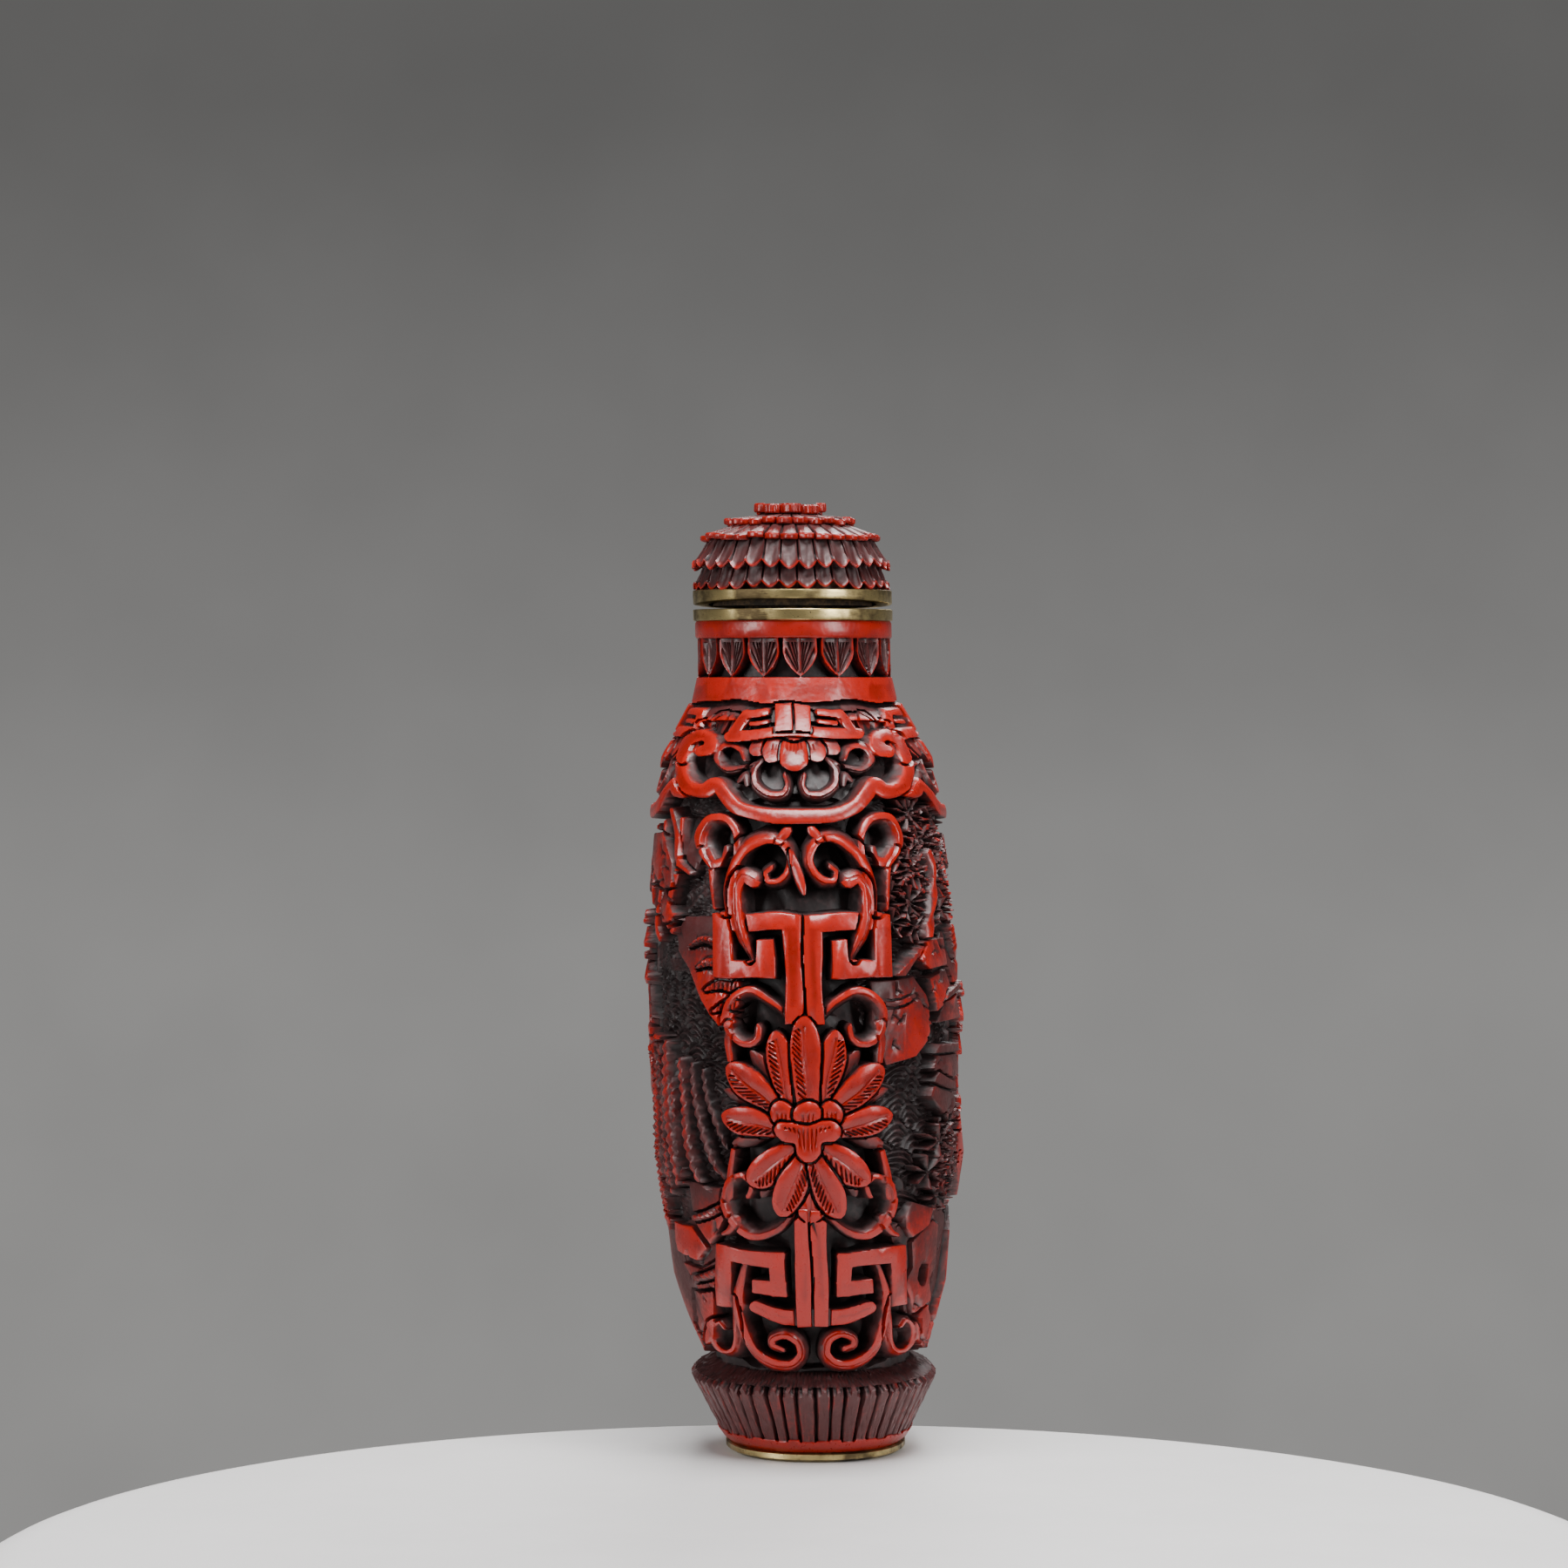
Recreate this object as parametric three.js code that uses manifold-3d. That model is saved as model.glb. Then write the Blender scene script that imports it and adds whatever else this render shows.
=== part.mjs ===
// Flattened snuff bottle of carved red lacquer with brass mounts and a petalled stopper.
// Millimetres, +Z up. X runs through the thickness, Y across the wide faces with their landscapes,
// and the origin is under the middle of the bottle, on the surface that it stands on.
import * as THREE from "three";
import { mergeVertices } from "three/addons/utils/BufferGeometryUtils.js";
import Module from "manifold-3d";

const wasm = await Module();
wasm.setup();

// ---- driving dimensions ----
const LEAN = 0.0275; // the whole bottle leans: sideways drift for each millimetre of height
const LEAN_FROM = 39.4; // height whose middle stays over the origin
const JOINT_GAP = 0.3; // between pieces that touch
const RELIEF = 1.9; // from the carved faces down to the ground between them
const ROOT = 0.6; // how far an ornament is let into the ground
const SQUARENESS = 2.3; // exponent of the body's oval: 2 is an ellipse, more is squarer
const AROUND = 24; // facets round the body

const PLATE_HEIGHT = 0.6; // brass foot plate
const FOOT_BOTTOM = PLATE_HEIGHT + JOINT_GAP;
const FLUTE_BOTTOM = 2.3;
const RIM_HEIGHT = 6.9; // widest edge of the foot
const WAIST = 8.2;
const LEDGE = 63.3; // lip from which the collar lappets hang
const LEAVES_BOTTOM = 66.85;
const LEAVES_TOP = 70.25;
const NECK_TOP = 71.45; // lacquer ends here, the brass rim follows
const BRASS_TOP = 72.75;
const NECK_RADIUS = 8.5;
const BORE_RADIUS = 4.5;
const CAP_BOTTOM = 74.5;
const TOTAL_HEIGHT = 82;

const FLUTES = 34;
const NECK_LEAVES = 16;
const CAP_PETALS = 24;
const LAPPET_REACH = 8.4; // to each side of a narrow side's middle
const WIDE_LAPPET_REACH = 11.5; // to each side of a wide face's middle

// Carved faces of the bottle: height, half thickness, half width.
const CARVED = [
  [8.0, 10.0, 13.0],
  [9.2, 10.1, 13.4],
  [12.2, 11.1, 15.2],
  [15.2, 12.1, 17.0],
  [20.0, 12.9, 19.0],
  [26.0, 13.5, 20.6],
  [33.0, 13.5, 21.2],
  [40.0, 13.9, 21.3],
  [46.0, 13.7, 20.6],
  [51.0, 13.2, 19.2],
  [54.0, 12.8, 17.9],
  [57.0, 12.6, 16.4],
  [60.0, 11.6, 14.2],
  [62.5, 10.2, 11.8],
  [65.0, 8.9, 9.4],
];

// Lacquer turned or cut plain, below and above the carved ground: height, half thickness, half width.
const PLAIN_FOOT = [
  [FOOT_BOTTOM, 7.9, 10.3],
  [FLUTE_BOTTOM, 8.5, 11.0],
  [6.6, 9.9, 13.0],
  [WAIST, 8.6, 11.6],
];
const PLAIN_NECK = [
  [62.8, 9.2, 10.6],
  [LEDGE, 10.0, 11.2],
  [64.1, 8.3, 9.0],
  [64.7, 8.9, 9.4],
  [LEAVES_BOTTOM, 8.5, 8.6],
  [LEAVES_BOTTOM + 0.1, 7.6, 7.6],
  [LEAVES_TOP - 0.1, 7.6, 7.6],
  [LEAVES_TOP, NECK_RADIUS, NECK_RADIUS],
  [NECK_TOP, NECK_RADIUS, NECK_RADIUS],
];
const GROUND_HEIGHTS = [12, 18, 26, 38, 48, 55, 61];

// Hollow inside: height, half thickness, half width. The bore of the neck goes on upwards from it.
const HOLLOW = [
  [9.5, 3.0, 5.0],
  [13, 5.2, 8.4],
  [24, 7.4, 13.8],
  [40, 7.8, 14.8],
  [54, 6.2, 10.2],
  [60, 4.9, 6.2],
  [64, BORE_RADIUS, BORE_RADIUS],
  [NECK_TOP + 1, BORE_RADIUS, BORE_RADIUS],
];

// ---- solids ----
function meshData(geometry) {
  const bare = geometry.clone();
  for (const name of Object.keys(bare.attributes)) {
    if (name !== "position") bare.deleteAttribute(name);
  }
  return mergeVertices(bare, 1e-5);
}

function solidOf(geometry) {
  const merged = meshData(geometry);
  return new wasm.Manifold(
    new wasm.Mesh({
      numProp: 3,
      vertProperties: new Float32Array(merged.attributes.position.array),
      triVerts: new Uint32Array(merged.index.array),
    }),
  );
}

function geometryOf(solid) {
  const { vertProperties, triVerts } = solid.getMesh();
  const geometry = new THREE.BufferGeometry();
  geometry.setAttribute("position", new THREE.BufferAttribute(vertProperties, 3));
  geometry.setIndex(new THREE.BufferAttribute(triVerts, 1));
  return geometry;
}

function geometryFrom(points, triangles) {
  const geometry = new THREE.BufferGeometry().setFromPoints(points);
  geometry.setIndex(triangles);
  return geometry;
}

const joined = (solids) => solids.reduce((whole, next) => whole.add(next));

// Closed skin over rings of points, from the lowest ring up, each ring counter-clockwise seen from above.
function loft(rings) {
  const count = rings[0].length;
  const middle = (ring) =>
    ring.reduce((sum, p) => sum.add(p), new THREE.Vector3()).divideScalar(count);
  const points = [...rings.flat(), middle(rings[0]), middle(rings.at(-1))];
  const bottom = points.length - 2;
  const top = points.length - 1;
  const last = (rings.length - 1) * count;
  const triangles = [];
  for (let i = 0; i < count; i++) {
    const next = (i + 1) % count;
    triangles.push(bottom, next, i, top, last + i, last + next);
    for (let r = 0; r < rings.length - 1; r++) {
      const a = r * count + i;
      const b = r * count + next;
      triangles.push(a, b, b + count, a, b + count, a + count);
    }
  }
  return geometryFrom(points, triangles);
}

// Values of a table's columns at a height, straight between its rows.
function sizeAt(rows, z) {
  const last = rows.length - 1;
  if (z <= rows[0][0]) return rows[0].slice(1);
  if (z >= rows[last][0]) return rows[last].slice(1);
  const upper = rows.findIndex((row) => row[0] > z);
  const [low, high] = [rows[upper - 1], rows[upper]];
  const share = (z - low[0]) / (high[0] - low[0]);
  return low.slice(1).map((value, i) => value + share * (high[i + 1] - value));
}

// Oval outline of the body, or of a round piece when squareness is 2.
function ovalRing(z, halfX, halfY, squareness = SQUARENESS, count = AROUND) {
  const ring = [];
  for (let i = 0; i < count; i++) {
    const angle = (2 * Math.PI * i) / count;
    const [c, s] = [Math.cos(angle), Math.sin(angle)];
    const power = 2 / squareness;
    ring.push(
      new THREE.Vector3(
        halfX * Math.sign(c) * Math.abs(c) ** power,
        halfY * Math.sign(s) * Math.abs(s) ** power,
        z,
      ),
    );
  }
  return ring;
}

// ---- places on the carved faces ----
// A place is (across, height, depth below the carved face). On the narrow side facing -Y across is x,
// and on the wide face facing +X it is y.
function onOval(across, halfAcross, halfOut, depth) {
  const t = Math.min(Math.abs(across) / halfAcross, 0.98);
  const out = (1 - t ** SQUARENESS) ** (1 / SQUARENESS);
  const slopeAcross = t ** (SQUARENESS - 1) / halfAcross;
  const slopeOut = out ** (SQUARENESS - 1) / halfOut;
  const length = Math.hypot(slopeAcross, slopeOut);
  return [
    across - (Math.sign(across) * depth * slopeAcross) / length,
    out * halfOut - (depth * slopeOut) / length,
  ];
}

function onNarrowSide(x, z, depth) {
  const [halfX, halfY] = sizeAt(CARVED, z);
  const [across, out] = onOval(x, halfX, halfY, depth);
  return new THREE.Vector3(across, -out, z);
}

function onWideFace(y, z, depth) {
  const [halfX, halfY] = sizeAt(CARVED, z);
  const [across, out] = onOval(y, halfY, halfX, depth);
  return new THREE.Vector3(out, across, z);
}

// Ribbon along a curve through (across, height) points. half(t) is its half width from the start to the end.
function ribbon(place, route, half, { top = 0, base = RELIEF + ROOT, steps = 8 } = {}) {
  const curve = new THREE.SplineCurve(route.map(([a, z]) => new THREE.Vector2(a, z)));
  const points = [];
  const triangles = [];
  for (let i = 0; i <= steps; i++) {
    const at = curve.getPoint(i / steps);
    const along = curve.getTangent(i / steps);
    const side = new THREE.Vector2(along.y, -along.x).multiplyScalar(half(i / steps));
    points.push(place(at.x + side.x, at.y + side.y, base));
    points.push(place(at.x + side.x, at.y + side.y, top));
    points.push(place(at.x - side.x, at.y - side.y, top));
    points.push(place(at.x - side.x, at.y - side.y, base));
  }
  for (let i = 0; i < steps; i++) {
    for (let j = 0; j < 4; j++) {
      const a = i * 4 + j;
      const b = i * 4 + ((j + 1) % 4);
      triangles.push(a, a + 4, b + 4, a, b + 4, b);
    }
  }
  const end = steps * 4;
  triangles.push(0, 1, 2, 0, 2, 3, end, end + 2, end + 1, end, end + 3, end + 2);
  return solidOf(geometryFrom(points, triangles));
}

const even = (width) => () => width / 2;
const tapering = (width) => (t) => (width / 2) * (1 - 0.6 * t);

// Flat plate with the outline of (across, height) points, counter-clockwise.
function plate(place, outline, { top = 0, base = RELIEF + ROOT, opening = null } = {}) {
  const flat = (points) => points.map(([a, z]) => new THREE.Vector2(a, z));
  const shape = new THREE.Shape(flat(outline));
  if (opening) shape.holes.push(new THREE.Path(flat(opening)));
  const geometry = new THREE.ExtrudeGeometry(shape, { depth: 1, bevelEnabled: false });
  const position = geometry.attributes.position;
  for (let i = 0; i < position.count; i++) {
    const [a, z, raised] = [position.getX(i), position.getY(i), position.getZ(i)];
    const point = place(a, z, raised > 0.5 ? top : base);
    position.setXYZ(i, point.x, point.y, point.z);
  }
  return solidOf(geometry);
}

// Petal or leaf from its base to its tip, widest past the middle, as a plate.
function petal(place, [baseAcross, baseHeight], [tipAcross, tipHeight], width, top = 0) {
  const length = Math.hypot(tipAcross - baseAcross, tipHeight - baseHeight);
  const [alongAcross, alongHeight] = [
    (tipAcross - baseAcross) / length,
    (tipHeight - baseHeight) / length,
  ];
  const corner = (share, side) => [
    baseAcross + alongAcross * share * length - alongHeight * side * width,
    baseHeight + alongHeight * share * length + alongAcross * side * width,
  ];
  const outline = [
    corner(0, 0.22),
    corner(0, -0.22),
    corner(0.6, -0.5),
    corner(0.88, -0.36),
    corner(1, 0),
    corner(0.88, 0.36),
    corner(0.6, 0.5),
  ];
  return plate(place, outline, { top });
}

// ---- carving on the narrow sides, in (x, height) ----
// Each list of solids stands on the narrow side facing -Y.
const withMirror = (half) => [...half, ...half.map((solid) => solid.mirror([1, 0, 0]))];

function upperScrolls() {
  const outer = [
    [-6.9, 52.6],
    [-7.6, 51.8],
    [-8.3, 53.2],
    [-7.7, 54.6],
    [-6.4, 54.8],
    [-5.7, 53.8],
  ];
  const inner = [
    [-6.3, 47.2],
    [-6.35, 49.4],
    [-5.7, 51.4],
    [-4.4, 53.1],
    [-2.7, 53.8],
    [-1.2, 53.2],
    [-0.6, 51.9],
    [-0.95, 50.5],
    [-1.9, 49.6],
    [-2.9, 49.9],
  ];
  const hooked = [
    [-3.8, 49.8],
    [-4.7, 50.0],
    [-5.0, 48.9],
    [-5.0, 47.2],
  ];
  return withMirror([
    ribbon(onNarrowSide, outer, even(0.85), { steps: 5 }),
    ribbon(onNarrowSide, inner, even(1), { steps: 9 }),
    ribbon(onNarrowSide, hooked, even(0.8), { top: 0.1, steps: 3 }),
  ]);
}

// Squared key pattern: a bar that turns down, inwards and up again on each side of a split column.
function upperFret() {
  const key = [
    [-7.3, 47.4],
    [-7.3, 42.0],
    [-2.3, 42.0],
    [-2.3, 45.0],
    [-3.9, 45.0],
    [-3.9, 43.5],
    [-6.2, 43.5],
    [-6.2, 45.8],
    [-1.5, 45.8],
    [-1.5, 38.6],
    [-0.16, 38.6],
    [-0.16, 47.4],
  ];
  return withMirror([plate(onNarrowSide, key, { top: 0.35 })]);
}

function scrollsOverFlower() {
  const scroll = [
    [-1.7, 39.3],
    [-3.4, 40.3],
    [-4.8, 40.6],
    [-6.1, 39.8],
    [-6.4, 38.3],
    [-5.9, 37.0],
    [-4.8, 36.8],
  ];
  return withMirror([ribbon(onNarrowSide, scroll, even(0.9), { steps: 6 })]);
}

// Petals of the large flower on one side of its middle, from the top petal round to the lowest: the angle
// of each from straight up, in degrees, its reach from the heart of the flower, and its width.
const FLOWER_HEART = 30;
const FLOWER_PETALS = [
  [18, 7.9, 2.0],
  [56, 7.5, 1.9],
  [88, 6.9, 2.0],
  [135, 6.9, 1.9],
  [164, 7.9, 2.0],
];
const fromHeart = (degrees, reach) => {
  const angle = (degrees * Math.PI) / 180;
  return [-reach * Math.sin(angle), FLOWER_HEART + reach * Math.cos(angle)];
};

function flower() {
  const outline = [
    [0, FLOWER_HEART + 2],
    fromHeart(6, 3.5),
  ];
  FLOWER_PETALS.forEach(([angle, reach, width], i) => {
    const half = (Math.asin(width / 2 / (0.72 * reach)) * 180) / Math.PI;
    outline.push(fromHeart(angle - half, 0.72 * reach), fromHeart(angle, reach));
    outline.push(fromHeart(angle + half, 0.72 * reach));
    if (i < FLOWER_PETALS.length - 1) {
      outline.push(fromHeart((angle + FLOWER_PETALS[i + 1][0]) / 2, 3.1));
    }
  });
  outline.push(fromHeart(174, 3.5), [0, FLOWER_HEART - 3]);
  const half = [plate(onNarrowSide, outline, { top: 0.3 })];
  const hanging = [
    [-0.45, 26.9],
    [0.45, 26.9],
    [1.1, 22.6],
    [-1.1, 22.6],
  ];
  const heart = [
    [-2.8, 30.4],
    [-2.0, 28.7],
    [-0.8, 27.1],
    [0.8, 27.1],
    [2.0, 28.7],
    [2.8, 30.4],
    [1.9, 31.7],
    [-1.9, 31.7],
  ];
  return [
    ...withMirror(half),
    petal(onNarrowSide, [0, 31.2], [0, 38.6], 2.4, 0.1),
    plate(onNarrowSide, hanging, { top: 0.6 }),
    plate(onNarrowSide, heart, { top: -0.3 }),
  ];
}

function scrollsUnderFlower() {
  const scroll = [
    [-1.6, 22.0],
    [-3.0, 21.0],
    [-4.7, 20.6],
    [-6.2, 21.4],
    [-6.9, 22.9],
    [-6.4, 24.3],
    [-5.2, 24.2],
  ];
  return withMirror([ribbon(onNarrowSide, scroll, even(0.95), { top: 0.1, steps: 6 })]);
}

function lowerFret() {
  const column = [
    [-1.4, 22.3],
    [-1.4, 13.2],
    [-5.0, 14.1],
    [-5.0, 13.0],
    [-0.16, 12.0],
    [-0.16, 22.3],
  ];
  const key = [
    [-8.0, 13.9],
    [-6.9, 13.9],
    [-6.9, 18.2],
    [-3.5, 17.6],
    [-3.5, 16.4],
    [-5.1, 16.7],
    [-5.1, 15.0],
    [-2.0, 14.5],
    [-2.0, 18.9],
    [-7.8, 19.6],
  ];
  return withMirror([column, key].map((outline) => plate(onNarrowSide, outline, { top: 0.35 })));
}

function lowerScrolls() {
  const large = [
    [-6.2, 14.0],
    [-6.3, 12.4],
    [-5.3, 10.1],
    [-3.5, 8.9],
    [-1.9, 9.0],
    [-1.1, 10.0],
    [-1.4, 11.1],
    [-2.5, 11.5],
  ];
  const small = [
    [-7.4, 12.8],
    [-7.2, 11.2],
    [-7.6, 10.0],
    [-8.5, 10.0],
    [-8.8, 11.4],
  ];
  return withMirror([
    ribbon(onNarrowSide, large, even(0.95), { top: 0.05, steps: 7 }),
    ribbon(onNarrowSide, small, even(0.7), { top: 0.4, steps: 4 }),
  ]);
}

// ---- collar of four lappets ----
// Half of a lappet's outline, from the middle of its lower edge to its shoulder, with across as a share of
// the lappet's reach, and the edge of the opening inside its border.
const LAPPET_OUTLINE = [
  [0, 54.7],
  [0.36, 54.9],
  [0.58, 56.2],
  [0.68, 57.2],
  [0.86, 56.9],
  [1.05, 58.2],
  [1.06, 60.2],
  [0.93, 61.9],
];
const LAPPET_OPENING = [
  [0, 55.9],
  [0.32, 56.0],
  [0.5, 57.0],
  [0.68, 58.6],
  [0.86, 58.2],
  [0.92, 59.8],
  [0.72, 61.0],
];

const acrossBy = (reach, points) => points.map(([share, z]) => [share * reach, z]);

// Border of a lappet that reaches as far to each side.
function lappet(place, reach) {
  const round = (half) => [
    ...acrossBy(-reach, half.toReversed()),
    ...acrossBy(reach, half.slice(1)),
  ];
  const outline = [...round(LAPPET_OUTLINE), [0.5 * reach, 63.1], [-0.5 * reach, 63.1]];
  return plate(place, outline, { top: -0.6, opening: round(LAPPET_OPENING) });
}

// Bud of hanging petals in the middle of a lappet.
function lappetBud(place, reach, mirrorAxis) {
  const sidePetal = petal(place, [0.2 * reach, 61.4], [0.3 * reach, 59.5], 1.7, -0.4);
  return [petal(place, [0, 61.4], [0, 59.0], 2.2, -0.4), sidePetal, sidePetal.mirror(mirrorAxis)];
}

// Pair of scrolls that fill a lappet below its bud.
function lappetScrolls(place, reach, mirrorAxis) {
  const route = acrossBy(reach, [
    [0.1, 57.8],
    [0.24, 57.0],
    [0.38, 57.9],
    [0.34, 59.2],
  ]);
  const scroll = ribbon(place, route, even(0.9), { top: -0.5, steps: 4 });
  return [scroll, scroll.mirror(mirrorAxis)];
}

// ---- landscapes on the wide faces, in (y, height), y growing to the right of a person who looks at it ----
const rock = (outline, top = 0.3) => plate(onWideFace, outline, { top });
const branch = (route, width, top = 0.4) =>
  ribbon(onWideFace, route, tapering(width), { top, steps: route.length });

// Round clump of needles or leaves with pointed lobes.
function leafClump(y, z, radius, lobes = 5, top = 0.1) {
  const outline = [];
  for (let i = 0; i < 2 * lobes; i++) {
    const angle = (Math.PI * i) / lobes;
    const reach = radius * (i % 2 ? 0.7 : 1);
    outline.push([y + reach * Math.cos(angle), z + reach * Math.sin(angle)]);
  }
  return plate(onWideFace, outline, { top });
}

function block(y, z, width, height, top) {
  const [halfWidth, halfHeight] = [width / 2, height / 2];
  return plate(
    onWideFace,
    [
      [y - halfWidth, z - halfHeight],
      [y + halfWidth, z - halfHeight],
      [y + halfWidth, z + halfHeight],
      [y - halfWidth, z + halfHeight],
    ],
    { top },
  );
}

// Cliffs, a stepped pavilion over the water, a pine and rocks.
function pavilionScene() {
  return [
    rock([[-17, 46], [-17.5, 41], [-14, 38], [-10, 40], [-10, 46]], 0.1),
    rock([[-16, 23], [-12, 13], [-7, 12], [-6, 18]], 0),
    rock([[-5, 17], [-5, 11.5], [3, 11.5], [4, 17]], 0.4),
    rock([[6, 17], [5, 12], [12, 13], [15, 18], [10, 22]], 0.1),
    rock([[6, 47], [9, 41], [14, 43], [13, 50]], 0.4),
    branch([[10, 23], [9, 28], [10.5, 33], [9.5, 37]], 1.8, 0.6),
    leafClump(-9.5, 50, 2.9),
    leafClump(10.5, 36, 3.2),
    block(-2, 35.6, 9, 1.6, 0),
    block(-2, 31.9, 6, 4.6, 0.8),
    block(-2, 28, 9.5, 1.6, 0),
    block(-2, 24, 6.5, 5, 0.8),
  ];
}

// Cliffs, a weeping willow over the water and rocks.
function willowScene() {
  const fronds = [13.5, 9.5].map((y) => branch([[y - 1, 34], [y + 0.6, 24.5]], 1.5, 0.3));
  return [
    rock([[12, 46], [12.5, 41.5], [15, 38], [17.5, 40], [18, 45]], 0.1),
    rock([[2, 53], [3, 47], [7, 44], [10, 48]], 0.3),
    rock([[-12, 50], [-15, 45], [-11, 39], [-5, 42], [-4, 49]], 0.1),
    rock([[6, 20], [7, 12.5], [12, 13.5], [15.5, 19]], 0),
    rock([[-15, 21], [-12, 13.5], [-6.5, 12], [-6.5, 20]], 0),
    branch([[3, 19.5], [2.2, 25], [5, 31], [10, 35.5]], 2.0, 0.6),
    ...fronds,
    leafClump(-1.5, 35, 3.2),
    block(-9.5, 33.6, 8, 1.6, 0),
    block(-9.5, 29.8, 5.6, 4.6, 0.8),
    block(-9.5, 26, 8.6, 1.6, 0.2),
  ];
}

// ---- the lacquer body ----
function carvedGround() {
  const rings = PLAIN_FOOT.map(([z, halfX, halfY]) => ovalRing(z, halfX, halfY));
  for (const z of GROUND_HEIGHTS) {
    const [halfX, halfY] = sizeAt(CARVED, z);
    rings.push(ovalRing(z, halfX - RELIEF, halfY - RELIEF));
  }
  for (const [z, halfX, halfY] of PLAIN_NECK) rings.push(ovalRing(z, halfX, halfY, 2));
  return solidOf(loft(rings));
}

// Belt of narrow upright flutes that widens to the rim of the foot.
function fluteBelt() {
  const rows = [
    [FLUTE_BOTTOM, 8.5, 11.0, 0.4],
    [RIM_HEIGHT, 10.8, 13.95, 0.4],
    [RIM_HEIGHT + 0.5, 10.3, 13.4, 0.1],
  ];
  return solidOf(
    loft(
      rows.map(([z, halfX, halfY, notch]) =>
        ovalRing(z, halfX, halfY, SQUARENESS, 2 * FLUTES).map((p, i) =>
          i % 2 ? new THREE.Vector3(p.x * (1 - notch / halfX), p.y * (1 - notch / halfX), z) : p,
        ),
      ),
    ),
  );
}

function neckLeaf(index) {
  const turn = (2 * Math.PI * (index + 0.5)) / NECK_LEAVES;
  const onNeck = (across, z, depth) => {
    const angle = turn + across / NECK_RADIUS;
    const radius = NECK_RADIUS - depth;
    return new THREE.Vector3(radius * Math.sin(angle), -radius * Math.cos(angle), z);
  };
  const half = (Math.PI * NECK_RADIUS) / NECK_LEAVES - 0.12;
  const outline = [
    [-half, LEAVES_TOP + 0.1],
    [-half, 68.5],
    [0, LEAVES_BOTTOM + 0.1],
    [half, 68.5],
    [half, LEAVES_TOP + 0.1],
  ];
  return plate(onNeck, outline, { top: 0.15, base: 1.3 });
}

function bottleBody() {
  const narrowSide = () => [
    ...upperFret(),
    ...flower(),
    ...lowerFret(),
    lappet(onNarrowSide, LAPPET_REACH),
    ...lappetBud(onNarrowSide, LAPPET_REACH, [1, 0, 0]),
  ];
  const scrolls = [
    ...upperScrolls(),
    ...scrollsOverFlower(),
    ...scrollsUnderFlower(),
    ...lowerScrolls(),
    ...lappetScrolls(onNarrowSide, LAPPET_REACH, [1, 0, 0]),
  ];
  const wideFace = (scene) => [
    ...scene,
    lappet(onWideFace, WIDE_LAPPET_REACH),
    ...lappetBud(onWideFace, WIDE_LAPPET_REACH, [0, 1, 0]),
  ];
  const halfTurn = (solid) => solid.rotate([0, 0, 180]);
  const leaves = [];
  for (let i = 0; i < NECK_LEAVES; i++) leaves.push(neckLeaf(i));
  const hollow = solidOf(loft(HOLLOW.map(([z, halfX, halfY]) => ovalRing(z, halfX, halfY, 2, 14))));
  return joined([
    carvedGround(),
    fluteBelt(),
    ...leaves,
    ...narrowSide(),
    ...scrolls,
    ...narrowSide().map(halfTurn),
    ...wideFace(pavilionScene()),
    ...wideFace(willowScene()).map(halfTurn),
  ]).subtract(hollow);
}

// ---- brass and stopper ----
const turned = (profile, count = 24) =>
  new THREE.LatheGeometry(
    profile.map(([r, z]) => new THREE.Vector2(r, z)),
    count,
  ).rotateX(Math.PI / 2);

function footPlate() {
  return loft([
    ovalRing(0, 7.3, 9.7),
    ovalRing(0.2, 7.6, 10.0),
    ovalRing(PLATE_HEIGHT, 7.8, 10.2),
  ]);
}

function neckRim() {
  const low = NECK_TOP + JOINT_GAP;
  return turned([
    [BORE_RADIUS, low],
    [8.6, low],
    [8.5, BRASS_TOP],
    [BORE_RADIUS, BRASS_TOP],
    [BORE_RADIUS, low],
  ]);
}

// Ring under the cap. Its lower edge rises at the front, where it is worn.
function stopperCollar() {
  const count = 24;
  const profile = [
    [7.3, 0],
    [8.6, 0],
    [8.5, 1],
    [7.3, 1],
  ];
  const [low, high] = [BRASS_TOP + JOINT_GAP, CAP_BOTTOM - JOINT_GAP];
  const points = [];
  const triangles = [];
  for (let i = 0; i < count; i++) {
    const angle = (2 * Math.PI * i) / count;
    const lift = 0.45 * Math.max(0, -Math.sin(angle)) ** 1.5;
    for (const [r, share] of profile) {
      const z = low + lift + share * (high - low - lift);
      points.push(new THREE.Vector3(r * Math.cos(angle), r * Math.sin(angle), z));
    }
    for (let j = 0; j < profile.length; j++) {
      const next = (j + 1) % profile.length;
      const a = i * profile.length;
      const b = ((i + 1) % count) * profile.length;
      triangles.push(a + j, b + j, b + next, a + j, b + next, a + next);
    }
  }
  return geometryFrom(points, triangles);
}

function stopperPlug() {
  const seat = BRASS_TOP + JOINT_GAP;
  return turned([
    [0, 66.5],
    [3.9, 66.5],
    [4.15, seat],
    [6.9, seat],
    [6.9, CAP_BOTTOM - JOINT_GAP],
    [0, CAP_BOTTOM - JOINT_GAP],
  ]);
}

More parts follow.
